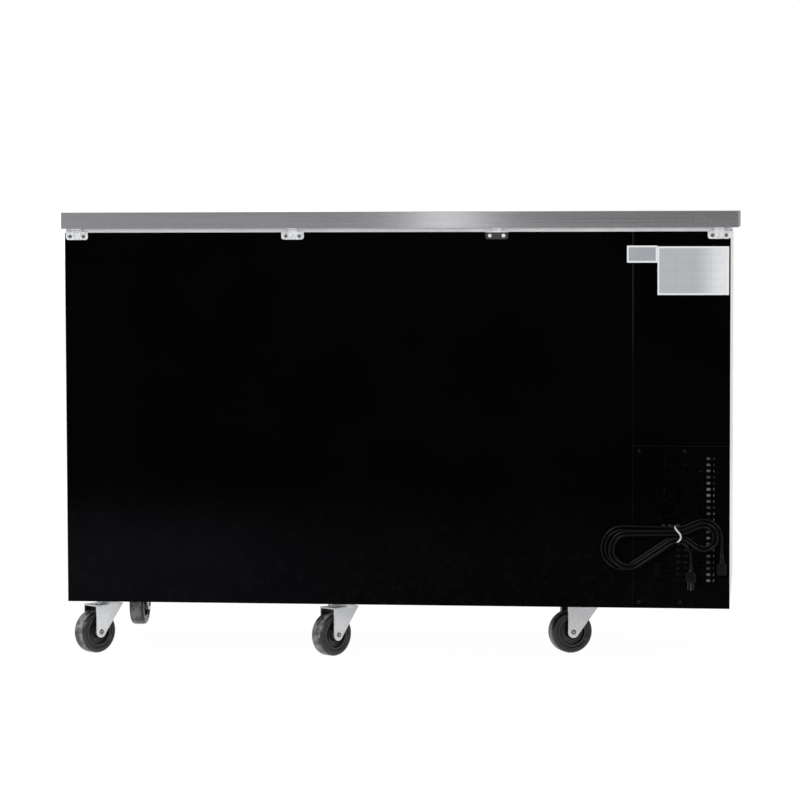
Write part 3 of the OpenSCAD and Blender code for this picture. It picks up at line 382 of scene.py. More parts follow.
def plated(name, dark, light, rough, metal=0.75, scale=220.0, dust=0.15, between=None, black=None):
    """Zinc plate: spangled shade on a half-metal, with a little dust low down. Between two legs (a point
    midway, the direction across, half the gap, the height of the crown) it is darkened to near black as painted
    shade.
    From one X to another and below a height, all three in black, the plating is darkened as a painted dark
    reflection."""
    made, g, bsdf = finish(name, Metallic=metal)
    shade = grouped(g, SPANGLE, Scale=scale)["Shade"]
    mask = grouped(g, DUST, Top=0.2, Bottom=0.0, Amount=dust)["Mask"]
    sheet = g.mix(g.ramp(shade, 0.25, 0.75), dark, light)
    # Painted shade: inside the gap between the fork legs and under the crown, the zinc is near black.
    if between:
        middle, across, half, crown = between
        x, y, z = g.split(g.place())
        off = g.math("ADD", g.math("MULTIPLY", g.math("SUBTRACT", x, middle[0]), across[0]),
                     g.math("MULTIPLY", g.math("SUBTRACT", y, middle[1]), across[1]))
        between_legs_shade = g.math("MULTIPLY", g.math("LESS_THAN", g.math("ABSOLUTE", off), half),
                        g.math("LESS_THAN", z, crown))
        sheet = g.mix(between_legs_shade, sheet, (0.02, 0.02, 0.021))
    if black:
        # Painted reflection: on one bracket the plating is darkened, standing in for a dark part of the room
        # mirrored in it.
        x, _, z = g.split(g.place())
        dark_reflection_mask = g.math("MULTIPLY", g.math("GREATER_THAN", x, black[0]), g.math("LESS_THAN", x, black[1]))
        dark_reflection_mask = g.math("MULTIPLY", dark_reflection_mask, g.math("LESS_THAN", z, black[2]))
        sheet = g.mix(dark_reflection_mask, sheet, g.mix(shade, (0.022, 0.022, 0.023), (0.036, 0.036, 0.038)))
    g.set(bsdf.inputs["Base Color"], g.mix(mask, sheet, (0.30, 0.29, 0.28)))
    g.set(bsdf.inputs["Roughness"], g.ramp(shade, 0.2, 0.8, rough[0], rough[1], False))
    bumped(g, bsdf, shade, 0.05, 0.0002)
    return made


def finned(name, dark, light, pitch, axis):
    """Fin stack: dark stripes of painted shade in the gaps between bright fins, from a triangle wave along one
    axis.
    """
    made, g, bsdf = finish(name, Metallic=0.9)
    wave = g.math("PINGPONG", g.split(g.place())[axis], pitch / 2)
    # Painted shade: dark stripes where the gaps between fins would be in shade.
    gap = g.ramp(wave, pitch * 0.1, pitch * 0.32)
    patch = grouped(g, GRAIN, Scale=600.0, Patch=14.0)["Patch"]
    g.set(bsdf.inputs["Base Color"], g.mix(gap, dark, g.mix(patch, tuple(0.8 * c for c in light), light)))
    g.set(bsdf.inputs["Roughness"], g.ramp(patch, 0, 1, 0.38, 0.55, False))
    bumped(g, bsdf, gap, 0.6, 0.001)
    return made


# The two bare plates on the rear: X from and to, Z from and to.
LARGE_PLATE = (-0.7545, -0.594, 0.839, 0.9485)
SMALL_PLATE = (-0.5938, -0.525, 0.912, 0.9505)
# The white margin ends, and the rulings begin, between these distances from a plate's edge.
PLATE_MARGIN, PLATE_RULED = (0.0034, 0.0044), (0.011, 0.0115)
# Half the width of a ruling, and the spacing of the rulings along X and Z.
RULING_W, RULING_X, RULING_Z = 0.0005, 0.0201, 0.0091
# X over which the larger plate's field darkens, and over which it gives way to the smaller plate's.
FIELD_DARKENS, FIELD_CHANGES = (-0.742, -0.675), (-0.60, -0.592)


def ruled_plate(name):
    """Bare satin plates: white margin and a grey field that brightens towards the cabinet's end,
    with faint empty rulings on the larger one, all from distances to the plates' own edges."""
    made, g, bsdf = finish(name, Metallic=0.0, Specular_IOR_Level=0.3)
    x, _, z = g.split(g.place())

    def depth(x0, x1, z0, z1):
        across = g.math("MINIMUM", g.math("SUBTRACT", x, x0), g.math("SUBTRACT", x1, x))
        upright = g.math("MINIMUM", g.math("SUBTRACT", z, z0), g.math("SUBTRACT", z1, z))
        return g.math("MINIMUM", across, upright)

    def rulings(value, first, spacing):
        return g.math("LESS_THAN", g.math("PINGPONG", g.math("SUBTRACT", value, first), spacing), RULING_W)

    large = depth(*LARGE_PLATE)
    inner = g.math("MAXIMUM", large, depth(*SMALL_PLATE))
    line_x = rulings(x, LARGE_PLATE[0], RULING_X)
    line_z = rulings(z, LARGE_PLATE[2], RULING_Z)
    ruled = g.math("MULTIPLY", g.math("MAXIMUM", line_x, line_z), g.ramp(large, *PLATE_RULED))
    patch = grouped(g, GRAIN, Scale=900.0, Patch=9.0)
    ground = g.mix(g.ramp(x, *FIELD_DARKENS), (0.60, 0.61, 0.63), (0.35, 0.36, 0.38))
    ground = g.mix(g.ramp(x, *FIELD_CHANGES), ground, (0.27, 0.28, 0.30))
    field = g.mix(g.math("MULTIPLY", patch["Patch"], 0.2), ground, (0.40, 0.41, 0.43))
    shown = g.mix(g.math("MULTIPLY", ruled, 0.3), field, (0.20, 0.21, 0.23))
    g.set(bsdf.inputs["Base Color"], g.mix(g.ramp(inner, *PLATE_MARGIN), (0.64, 0.65, 0.66), shown))
    g.set(bsdf.inputs["Roughness"], g.ramp(patch["Patch"], 0, 1, 0.38, 0.5, False))
    bumped(g, bsdf, patch["Height"], 0.04, 0.0002)
    return made


# The foam's face towards the machine bay and the heights over which its painted seam shade pales, and the bare
# post: X at its inner side, Z from and to.
BAY_X, SEAM_SHADE_PALES = -0.5355, (0.66, 0.80)
POST_X, POST_LOW, POST_HIGH = -0.7, 0.159, 0.478


def foam_with_seam_shade(name):
    """Foam core: straw-coloured and pitted; the face towards the bay is painted seam shade, paling higher up as
    painted light.
    """
    made, g, bsdf = finish(name, Specular_IOR_Level=0.2)
    out = grouped(g, GRAIN, Scale=300.0, Patch=12.0)
    x, _, z = g.split(g.place())
    straw = g.mix(out["Patch"], (0.70, 0.62, 0.40), (0.82, 0.74, 0.52))
    # Painted shade: the bay face, seen only through the panel seam, is near black, and pales higher up as painted
    # light along the seam.
    seam_shade = g.mix(g.ramp(z, *SEAM_SHADE_PALES), (0.0012, 0.0012, 0.0013), (0.06, 0.06, 0.062))
    g.set(bsdf.inputs["Base Color"], g.mix(g.math("LESS_THAN", x, BAY_X), straw, seam_shade))
    g.set(bsdf.inputs["Roughness"], g.ramp(out["Patch"], 0, 1, 0.8, 0.95, False))
    bumped(g, bsdf, out["Height"], 0.5, 0.0003)
    return made


def painted_frame(name):
    """Frame sheet: black paint, with the bare zinc post behind the vent, darkened and blotched as painted shade.
    """
    made, g, bsdf = finish(name, Specular_IOR_Level=0.1)
    x, _, z = g.split(g.place())
    height = g.math("MULTIPLY", g.math("GREATER_THAN", z, POST_LOW), g.math("LESS_THAN", z, POST_HIGH))
    bare = g.math("MULTIPLY", g.math("LESS_THAN", x, POST_X), height)
    shade = grouped(g, SPANGLE, Scale=220.0)["Shade"]
    # Painted shade: the post's zinc is darkened far below bare zinc and blotched along its height.
    shade_blotch = g.ramp(g.noise(g.place(), 24.0, 2.0), 0.36, 0.62)
    zinc = g.mix(shade_blotch, (0.028, 0.029, 0.030), (0.125, 0.127, 0.130))
    g.set(bsdf.inputs["Base Color"], g.mix(bare, (0.0012, 0.0012, 0.0013), zinc))
    g.set(bsdf.inputs["Metallic"], g.math("MULTIPLY", bare, 0.3))
    g.set(bsdf.inputs["Roughness"], g.ramp(shade, 0.2, 0.8, 0.42, 0.6, False))
    bumped(g, bsdf, shade, 0.04, 0.0002)
    return made


# Distances from the axle between which the tread's pale patches, scuffs and painted sheen, begin.
TREAD_R = (0.0486, 0.0498)


def rubber_scuffs_and_sheen(name):
    """Wheel rubber: near black and half shiny, with pale patches on the tread, partly scuffs and partly a painted
    sheen, placed by each point's stored distance from the axle."""
    made, g, bsdf = finish(name, Specular_IOR_Level=0.45)
    out = grouped(g, GRAIN, Scale=700.0, Patch=12.0)
    distance = g.node("ShaderNodeAttribute", attribute_name="axle_distance").outputs["Fac"]
    tread = g.ramp(distance, *TREAD_R)
    # Pale tread patches: partly scuffs, partly a painted sheen.
    scuff_and_sheen = g.math("MULTIPLY", tread, g.ramp(g.noise(g.place(), 48.0, 3.0, 0.6), 0.40, 0.64))
    rubber = g.mix(out["Patch"], (0.010, 0.010, 0.0108), (0.022, 0.022, 0.0235))
    g.set(bsdf.inputs["Base Color"], g.mix(scuff_and_sheen, rubber, (0.25, 0.25, 0.257)))
    shine = g.ramp(out["Patch"], 0, 1, 0.22, 0.34, False)
    g.set(bsdf.inputs["Roughness"], g.math("ADD", shine, g.math("MULTIPLY", scuff_and_sheen, 0.12)))
    bumped(g, bsdf, out["Height"], 0.12, 0.0003)
    return made


# Finishes

ZINC = {"dark": (0.75, 0.76, 0.775), "light": (0.84, 0.85, 0.865), "rough": (0.36, 0.46), "metal": 0.45,
        "scale": 420.0}
# The bracket with a painted dark reflection: X from and to, and the height of its top.
DARK_REFLECTION_CLIP = (-0.29, -0.17, 0.9812)
FINISH = {
    "counter_steel": brushed_metal("counter_steel", (0.365, 0.365, 0.378), (0.425, 0.425, 0.438),
                                   (0.10, 0.14), (3, 1400, 1400), (1.2, 300, 300), 0.06,
                                   worn=COUNTER_TOP - 0.0005),
    "core_edge": moulded("core_edge", (0.62, 0.63, 0.65), (0.70, 0.71, 0.73), (0.45, 0.6)),
    "bracket_zinc": plated("bracket_zinc", (0.50, 0.51, 0.52), (0.66, 0.67, 0.68), (0.34, 0.5), metal=0.4,
                           black=DARK_REFLECTION_CLIP),
    # The black paint carries a faint painted sheen low down towards +X.
    "black_paint": sprayed_metal("black_paint", (0.0003, 0.0003, 0.0003), (0.0008, 0.0008, 0.0009),
                                 (0.36, 0.48), dust=0.03, spec=0.006, painted_sheen=0.005),
    "black_screw": sprayed_metal("black_screw", (0.003, 0.003, 0.0033), (0.006, 0.006, 0.0066), (0.3, 0.45),
                                 dust=0.03, spec=0.07),
    "plate_silver": ruled_plate("plate_silver"),
    "zinc": plated("zinc", **ZINC),
    "foam": foam_with_seam_shade("foam"),
    "liner_metal": brushed_metal("liner_metal", (0.62, 0.63, 0.64), (0.74, 0.75, 0.76), (0.35, 0.5),
                                 (400, 400, 8), (90, 90, 2), 0.08),
    "shelf_wire": sprayed_metal("shelf_wire", (0.62, 0.63, 0.64), (0.72, 0.73, 0.74), (0.3, 0.45), dust=0.0),
    "white_plastic": moulded("white_plastic", (0.74, 0.74, 0.73), (0.82, 0.82, 0.81), (0.4, 0.55)),
    "coil_metal": finned("coil_metal", (0.05, 0.05, 0.05), (0.62, 0.63, 0.64), 0.004, "X"),
    "motor_metal": sprayed_metal("motor_metal", (0.24, 0.25, 0.26), (0.34, 0.35, 0.36), (0.35, 0.5),
                                 dust=0.2),
    "fan_plastic": moulded("fan_plastic", (0.02, 0.02, 0.021), (0.04, 0.04, 0.042), (0.4, 0.6)),
    "compressor_paint": sprayed_metal("compressor_paint", (0.012, 0.012, 0.013), (0.022, 0.022, 0.024),
                                      (0.28, 0.45), dust=0.3),
    "copper": plated("copper", (0.34, 0.17, 0.11), (0.46, 0.26, 0.18), (0.32, 0.5), metal=1.0, scale=120.0),
    "black_plastic": moulded("black_plastic", (0.010, 0.010, 0.011), (0.022, 0.022, 0.024), (0.38, 0.52)),
    "grey_plastic": moulded("grey_plastic", (0.20, 0.20, 0.21), (0.28, 0.28, 0.29), (0.4, 0.5)),
    "switch_plastic": moulded("switch_plastic", (0.030, 0.030, 0.032), (0.045, 0.045, 0.048), (0.18, 0.28)),
    "cord_black": moulded("cord_black", (0.0005, 0.0005, 0.0006), (0.0012, 0.0012, 0.0013), (0.12, 0.19),
                          bump=0.02, spec=0.095),
    "tie_white": moulded("tie_white", (0.44, 0.44, 0.44), (0.54, 0.54, 0.54), (0.4, 0.55)),
    "gasket": moulded("gasket", (0.035, 0.035, 0.036), (0.06, 0.06, 0.062), (0.5, 0.7)),
    "wheel_rubber": rubber_scuffs_and_sheen("wheel_rubber"),
    "brake_paint": sprayed_metal("brake_paint", (0.30, 0.02, 0.015), (0.42, 0.035, 0.03), (0.3, 0.45),
                                 dust=0.3, top=0.3),
}
FRAME_PAINT = painted_frame("frame_paint")
# The sides are a smooth black that mirrors the room only when seen along their face.
SIDE_PAINT = sprayed_metal("side_paint", (0.002, 0.002, 0.0022), (0.004, 0.004, 0.0044), (0.08, 0.11),
                           bump=0.003, dust=0.02, spec=0.04)
DOOR_PAINT = sprayed_metal("door_paint", (0.004, 0.004, 0.0045), (0.008, 0.008, 0.009), (0.22, 0.3),
                           dust=0.03, spec=0.22)
OWN = {"door_left_skin": DOOR_PAINT, "door_right_skin": DOOR_PAINT, "front_grille": DOOR_PAINT,
       "face_frame": DOOR_PAINT, "side_panel_left": SIDE_PAINT, "side_panel_right": SIDE_PAINT,
       "base_frame": FRAME_PAINT}
slot_of = {row["node"]: row["material_slot"] for row in frame["record"]["subparts"]}
for name, obj in nodes.items():
    obj.data.materials.clear()
    obj.data.materials.append(OWN.get(name) or FINISH[slot_of[name]])

# Folded and moulded edges: the radius on each node, in millimetres.
EDGES = {
    "countertop": 1.6, "counter_core": 0.8, "counter_brackets": 0.5, "rear_panel": 0.4, "bay_rear_panel": 0.4,
    "side_panel_left": 0.4, "side_panel_right": 0.4, "door_left_skin": 1.6, "door_right_skin": 1.6,
    "door_left_handle": 0.7, "door_right_handle": 0.7, "face_frame": 0.8, "front_grille": 0.5,
    "control_panel": 1.0, "drain_pan": 0.8, "evaporator_cover": 1.0, "hinge_brackets": 0.5,
}
EDGES.update({name: 0.6 for name in nodes if name.startswith("fork_")})


def round_edges(obj, radius):
    """Welds the mesh, merges what lies in one plane, and rounds the edges sharper than 40 degrees."""
    weld = obj.modifiers.new("weld", "WELD")
    weld.merge_threshold = 1e-5
    flat = obj.modifiers.new("flat", "DECIMATE")
    flat.decimate_type = "DISSOLVE"
    flat.angle_limit = math.radians(1)
    bevel = obj.modifiers.new("edge", "BEVEL")
    bevel.width = radius * MM
    bevel.segments = 2
    bevel.limit_method = "ANGLE"
    bevel.angle_limit = math.radians(40)


for name, radius in EDGES.items():
    round_edges(nodes[name], radius)

# Mains cord: a tied hank

# The cord's thickness and pitch, and the place of the tie, in millimetres, as in the solids.
CORD, PITCH = 8.0, 8.6
TIE_X, TIE_Z = -641.5, 295.875
# The hank's small end, its larger end on each layer (place from the tie, radius), and the bends at the tie.
SMALL_END = ((-58.0, -4.0), 40.0)
LARGE_ENDS = (((124.0, -31.0), 53.0), ((112.0, -33.0), 47.0))
WAIST = 24.0
# Parts of a turn over which the cord climbs to the second layer and settles on the panel.
CLIMB, SETTLE = 0.16, 0.2
# The straight lead, its distance from the panel, the bend of the hanging end and its straight end.
LEAD, LEAD_Y, TAIL_R, TAIL = 34.0, REAR + 8.0, 34.0, 14.0


def ease(u):
    """A smooth step from 0 to 1: three squares less two cubes."""
    u = np.clip(u, 0, 1)
    return u * u * (3 - 2 * u)


class HankLoop:
    """One turn of the hank: four circles (the two ends, and the two bends at the tie) joined by straight
    runs that touch them crosswise. Headings are in degrees."""

    def __init__(self, large_end):
        side = 2 * PITCH + WAIST
        self.centres = np.array([SMALL_END[0], (0.0, side), large_end[0], (0.0, -side)])
        self.radii = np.array([SMALL_END[1], WAIST, large_end[1], WAIST])
        h = [self.heading(0, 1, -1), self.heading(1, 2, 1), self.heading(2, 3, -1), self.heading(3, 0, 1)]
        h[2] -= 360 * math.ceil((h[2] - h[1]) / 360)
        h[3] -= 360 * math.floor((h[3] - h[2]) / 360)
        self.circle = np.array([0, 0, 1, 1, 2, 2, 3, 3, 0])
        self.first = np.array([90, h[0], h[0], h[1], h[1], h[2], h[2], h[3], h[3]])
        self.last = np.array([h[0], h[0], h[1], h[1], h[2], h[2], h[3], h[3], -270])
        arcs = self.radii[self.circle] * np.radians(np.abs(self.last - self.first))
        reach = self.on((self.circle + 1) % 4, self.first) - self.on(self.circle, self.first)
        runs = np.linalg.norm(reach, axis=1)
        self.length = np.where(np.arange(9) % 2 == 0, arcs, runs)
        self.start = np.concatenate([[0], np.cumsum(self.length)])

    def heading(self, i, j, sign):
        """Heading of the straight run from circle i to circle j, which touches them on opposite sides."""
        v = self.centres[j] - self.centres[i]
        lean = math.asin((self.radii[i] + self.radii[j]) / np.hypot(*v))
        return math.degrees(math.atan2(v[1], v[0]) + sign * lean)

    def on(self, i, h):
        """The point of circle i at which the cord runs along the heading h."""
        a = np.radians(h)
        sign = np.where(np.asarray(i) % 2 == 0, 1, -1)
        return self.centres[i] + (sign * self.radii[i])[..., None] * np.stack([-np.sin(a), np.cos(a)], -1)

    def at(self, u):
        """Place and heading at the part u of the turn."""
        q = (u % 1.0) * self.start[-1]
        k = np.clip(np.searchsorted(self.start, q, side="right") - 1, 0, 8)
        f = (q - self.start[k]) / self.length[k]
        h = self.first[k] + (self.last[k] - self.first[k]) * f
        a, b = self.on(self.circle[k], h), self.on((self.circle[k] + 1) % 4, h)
        return np.where((k % 2 == 0)[:, None], a, a + (b - a) * f[:, None]), h


HANK = [HankLoop(large_end) for large_end in LARGE_ENDS]
HANK_Y = REAR + 0.6 + CORD / 2


def hank_points(t):
    """Centre of the cord after t turns: two turns spiral in on the panel, two spiral out on top."""
    outer, inner = HANK[0].at(t), HANK[1].at(t)
    first = t < 2
    p = np.where(first[:, None], outer[0], inner[0])
    h = np.radians(np.where(first, outer[1], inner[1]))
    s = np.where(first, t, 4 - t) * PITCH
    climbed, settled = ease((t - 2 + CLIMB) / (2 * CLIMB)), ease(t / SETTLE)
    y = HANK_Y + PITCH * climbed + (LEAD_Y - HANK_Y) * (1 - settled)
    return np.stack([TIE_X + p[:, 0] + s * np.sin(h), y, TIE_Z + p[:, 1] - s * np.cos(h)], -1)


def cord_centreline(turn_points=620):
    """Straight lead up from the bushing, the hank, an arc into the vertical, and a straight end."""
    exit_t = 3 + HANK[1].start[7] / HANK[1].start[9] - 0.0001
    hank = hank_points(exit_t * np.linspace(0, 1, turn_points))
    end, before = hank[-1], hank_points(np.array([exit_t - 0.002]))[0]
    a0 = math.atan2(before[2] - end[2], before[0] - end[0])
    a = np.linspace(a0, math.pi / 2, 19)[1:]
    arc = end + TAIL_R * np.stack([math.sin(a0) - np.sin(a), 0 * a, np.cos(a) - math.cos(a0)], -1)
    lead = hank[0] - np.linspace(LEAD, 0, 12, endpoint=False)[:, None] * [0, 0, 1]
    tail = arc[-1] - np.linspace(0, TAIL, 5)[1:, None] * [0, 0, 1]
    return np.concatenate([lead, hank, arc, tail]) * MM


route = cord_centreline()
turn = np.linspace(0, 2 * np.pi, 14, endpoint=False)
jacket = CORD / 2 * MM * np.stack([np.cos(turn), np.sin(turn)], -1)
cord = piece("power_cord_jacket", swept_shell(route, jacket, (0.03, 1, 0.05)), FINISH["cord_black"],
             "cord_black", replaces=("power_cord",), sharp=60)

# Plug: a moulded grip with ribs, a tapered sleeve, two flat blades and a round earth pin, in millimetres.
PLUG_X, PLUG_Y, PLUG_TOP = route[-1] / MM
SLEEVE_W, PLUG_W, PLUG_T = 10.0, 27.4, 17.6
RIB_H, RIB_PITCH = 0.45, 3.4


def plug_place(p):
    """Points (across, out, depth below the end of the cord) as places in the model."""
    return (p * [1, 1, -1] + [PLUG_X, PLUG_Y, PLUG_TOP]) * MM


def plug_sections():
    """Rounded outlines down the plug: a sleeve that widens with depth, a smooth step to the body, cosine ribs
    on the sleeve and the grip, and a flat face with a small chamfer."""
    depth = np.concatenate([np.linspace(0, 20, 21), np.linspace(21, 43.4, 24), [44.0]])
    grow = ease((depth - 16) / 9)
    ribbed = (depth < 19) | ((depth > 27) & (depth < 39))
    rib = RIB_H * np.cos(depth * 2 * np.pi / RIB_PITCH) * ribbed
    sleeve = (1 - grow) * (SLEEVE_W + 0.18 * depth)
    wide = sleeve + grow * (PLUG_W - 0.12 * np.abs(depth - 35)) + rib
    thick = sleeve + grow * PLUG_T + rib
    wide[-1], thick[-1] = wide[-1] - 1.2, thick[-1] - 1.2
    corner = np.minimum(wide, thick) * (0.499 - 0.14 * grow)
    return [(rounded_rect(w, t, r), d) for w, t, r, d in zip(wide, thick, corner, depth)]


PIN_X, PIN_Y, EARTH_Y = 6.35, 2.15, -6.0
blade, tip = rounded_rect(1.5, 6.3, 0.5, 3), rounded_rect(1.1, 5.4, 0.5, 3)
pins = [lofted_block([(blade + at, 43), (blade + at, 60), (tip + at, 61)], plug_place)
        for at in ([-PIN_X, PIN_Y], [PIN_X, PIN_Y])]
earth_shape = [(0, 43), (2.4, 43), (2.4, 62), (1.9, 63.4), (1.0, 63.9), (0, 64)]
earth = turned_shell(np.array(earth_shape) * MM * [1, -1],
                     np.array([PLUG_X, PLUG_Y + EARTH_Y, PLUG_TOP]) * MM, (0, 0, 1), 24)
# Painted shade: the nickel pins are darkened far below bright metal.
PIN_NICKEL_SHADED = plated("pin_nickel_painted_shade", (0.05, 0.049, 0.045), (0.08, 0.078, 0.072), (0.35, 0.5), metal=1.0)
plug = piece("power_plug_body", lofted_block(plug_sections(), plug_place), FINISH["cord_black"], "cord_black",
             replaces=("power_plug",))
plug_pins = piece("power_plug_pins", pins + [earth], PIN_NICKEL_SHADED, "cord_black")

# Bushing: a rounded housing on the panel, a taper with cosine ribs round the lead, and a stem through the
# panel, in millimetres.
gland_low, gland_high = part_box("cord_gland")
GLAND_X, GLAND_Z = (gland_low[0] + gland_high[0]) / 2, gland_low[2]
HOUSE_W, HOUSE_T, HOUSE_H = 22, 15, 26
TAPER_H, TAPER_FOOT, TAPER_TIP = 26, 7.0, 5.0
taper_h = np.linspace(0, TAPER_H, 27)
ribs = 0.35 * np.cos(taper_h * 2 * np.pi / 3.7)
taper_r = TAPER_FOOT - (TAPER_FOOT - TAPER_TIP) * taper_h / TAPER_H + ribs
taper_end = [(4.2, TAPER_H), (0, TAPER_H)]
taper = np.concatenate([[(0, 0)], np.stack([taper_r, taper_h], -1), taper_end]) * MM
wall = rounded_rect(HOUSE_W, HOUSE_T, 3)
house = [(rounded_rect(HOUSE_W - 2, HOUSE_T - 2, 2), 0), (wall, 1.2), (wall, HOUSE_H - 1.4),
         (rounded_rect(HOUSE_W - 2.6, HOUSE_T - 2.6, 2), HOUSE_H)]
stem = np.array([(0, -9), (8, -9), (8, 1), (0, 1)]) * MM
gland = piece("cord_bushing",
              [lofted_block(house, lambda p: p * MM + [GLAND_X, (REAR + HOUSE_T / 2) * MM, GLAND_Z]),
               turned_shell(taper, (GLAND_X, LEAD_Y * MM, GLAND_Z + HOUSE_H * MM), (0, 0, 1), 28),
               turned_shell(stem, (GLAND_X, REAR * MM, GLAND_Z + HOUSE_H / 2 * MM), (0, 1, 0), 28)],
              FINISH["cord_black"], "black_plastic", replaces=("cord_gland",))

# The tie, in millimetres: the heights of its slots and its run behind the panel, then its start along X and
# how far it bulges sideways, leans and stands out, then its thickness and width.
TIE_TOP, TIE_FOOT, TIE_BACK = 315.6, 276.2, 335.2
TIE_START, TIE_BULGE, TIE_LEAN, TIE_OUT = -634.5, 12.5, 2.5, 18.2
TIE_T, TIE_W = 1.0, 3.8


def tie_path():
    """A closed band: it leans and bulges as it crosses the hank, by powers of a sine across and of a flat
    arch outwards, and runs straight behind the panel between its two slots."""
    v = np.linspace(0, 1, 61)
    x = TIE_START - TIE_BULGE * np.clip(np.sin(np.pi * v ** 1.25), 0, 1) ** 1.2 - TIE_LEAN * v
    y = REAR + 1 + TIE_OUT * (1 - np.abs(2 * v - 1) ** 6) ** 0.5
    front = np.stack([x, y, TIE_TOP - (TIE_TOP - TIE_FOOT) * v], -1)
    back = np.linspace((x[-1], TIE_BACK, TIE_FOOT), (x[0], TIE_BACK, TIE_TOP), 15)
    return np.concatenate([front, back]) * MM


band = rounded_rect(TIE_T * MM, TIE_W * MM, 0.45 * TIE_T * MM, 3)
tie = piece("cord_tie_band", swept_shell(tie_path(), band, (1, 0, 0), closed=True), FINISH["tie_white"],
            "tie_white", replaces=("cord_tie",), sharp=50)

# Screws


def screw_heads(places, y, radius, height):
    """Pan heads facing +Y with a cross recess: height over a polar grid = dome - recess, where the recess
    is deepest along two crossed bars. Inside, lengths are parts of the radius."""
    r = np.linspace(0, 1, 15)
    t = np.linspace(0, 2 * np.pi, 48, endpoint=False)
    rr, tt = np.meshgrid(r, t, indexing="ij")
    a, b = rr * np.cos(tt), rr * np.sin(tt)
    bar = np.minimum(np.abs(a), np.abs(b))
    dome = height * np.sqrt(np.clip(1 - (rr * 0.93) ** 4, 0, 1))
    recess = height * 0.75 * ease((0.2 - bar) / 0.1) * ease((0.66 - rr) / 0.12)
    top = np.stack([a * radius, dome - recess, b * radius], -1)
    rim = top[-1:] * [1, 0, 1]
    head = np.concatenate([top, rim, rim * 0])
    return [grid_shell(head + [x, y, z], False, True) for x, z in places]


# A head's radius and height. The screws on three brackets are a grey copy of the bright zinc screws, as painted
# shade; the bracket with the painted dark reflection, the last here, keeps the bright ones.
PAN_HEAD = (0.0042, 0.0022)
# The brackets' outer face, the height of their screws and the screws' distance from a bracket's middle.
BRACKET_FACE, BRACKET_SCREW_Z, BRACKET_SCREW_X = REAR * MM + 0.0016, 0.9735, 0.0155
bracket_x = (0.7405, 0.238, -0.7325, -0.230)
bracket_heads = [(x + side * BRACKET_SCREW_X, BRACKET_SCREW_Z) for x in bracket_x for side in (-1, 1)]
# Painted shade: the grey screws are a darkened copy of the bright zinc screws.
SCREW_SHADED = sprayed_metal("screw_painted_shade", (0.11, 0.11, 0.115), (0.17, 0.17, 0.175), (0.3, 0.45), dust=0.0)
SCREW_BRIGHT = plated("screw_bright", (0.66, 0.67, 0.68), (0.76, 0.77, 0.78), (0.3, 0.42), metal=0.3)
piece("bracket_screw_heads", screw_heads(bracket_heads[:6], BRACKET_FACE, *PAN_HEAD), SCREW_SHADED,
      "bracket_zinc", replaces=("bracket_screws",))
piece("bright_screw_heads", screw_heads(bracket_heads[6:], BRACKET_FACE, *PAN_HEAD), SCREW_BRIGHT,
      "bracket_zinc")
# X and Z of the four screws in the panel over the machine bay.
panel_heads = [(-0.553, 0.486), (-0.656, 0.486), (-0.553, 0.1415), (-0.646, 0.142)]
piece("panel_screw_heads", screw_heads(panel_heads, REAR * MM, *PAN_HEAD), FINISH["black_screw"],
      "black_screw", replaces=("panel_screws",))

# Casters

CASTERS = ("rear_right", "rear_middle", "rear_left", "front_right", "front_middle", "front_left")
# Half the gap between a fork's legs, half its width, and the height of its crown's underside, in millimetres.
FORK_IN, FORK_OUT, CROWN = 21.0, 24.05, 110.0


def ring_shell(half, centre, axis, n=96):
    """A ring: half a profile (radius, height), mirrored about the middle plane and turned about the axis."""
    prof = np.concatenate([half, half[::-1] * [1, -1]]) * MM
    a = np.array([0, 0, 1.0])
    b = np.cross(axis, a)
    t = np.linspace(0, 2 * np.pi, n, endpoint=False)
    spoke = np.cos(t)[:, None] * a + np.sin(t)[:, None] * b
    return grid_shell(centre + prof[:, None, :1] * spoke + prof[:, None, 1:2] * axis, True, True)


# Tyre: a crowned tread with a moulding ridge each side, a rounded shoulder and a groove in the side.
TYRE = np.array([
    (50, 2), (50, 7), (49.9, 9.4), (50.1, 9.7), (50.1, 10.1), (49.75, 10.4), (49.4, 12.6), (48.7, 14.6),
    (47.6, 16.2), (46, 17.4), (44, 18), (41.2, 18), (40.8, 17), (39.6, 17), (39.2, 18), (37.6, 18),
    (36.2, 17), (36.2, 2)])
# Centre: a hub, a dished web with two raised rings, and a rim.
CENTRE = np.array([
    (36, 2), (36, 15.4), (35.4, 16), (30.6, 16), (29.9, 15.4), (29.2, 8.6), (28.8, 8), (27, 8),
    (26.6, 10.6), (25, 10.6), (24.6, 8), (21.8, 8), (21.4, 10.6), (19.8, 10.6), (19.4, 8), (16.2, 8),
    (15.6, 8.6), (13.9, 18), (13, 20.2), (12.4, 20.5), (4.2, 20.5), (4.2, 2)])
# Collar: the dark ring round the end of the axle.
COLLAR = np.array([(1.9, 0), (1.9, 2.5), (2.2, 2.6), (4.8, 2.6), (5.7, 1.7), (5.7, 0), (1.9, 0)]) * MM
AXLE_DARK = sprayed_metal("axle_dark", (0.05, 0.05, 0.052), (0.08, 0.08, 0.083), (0.35, 0.5), dust=0.1)


def store_distance(obj, axle, along):
    """Keeps each point's distance from the axle line: the length of (point - axle), less its part along
    the axle."""
    spots = np.empty(len(obj.data.vertices) * 3)
    obj.data.vertices.foreach_get("co", spots)
    off = spots.reshape(-1, 3) - axle
    off -= (off @ along)[:, None] * along
    layer = obj.data.attributes.new("axle_distance", "FLOAT", "POINT")
    layer.data.foreach_set("value", np.linalg.norm(off, axis=1))


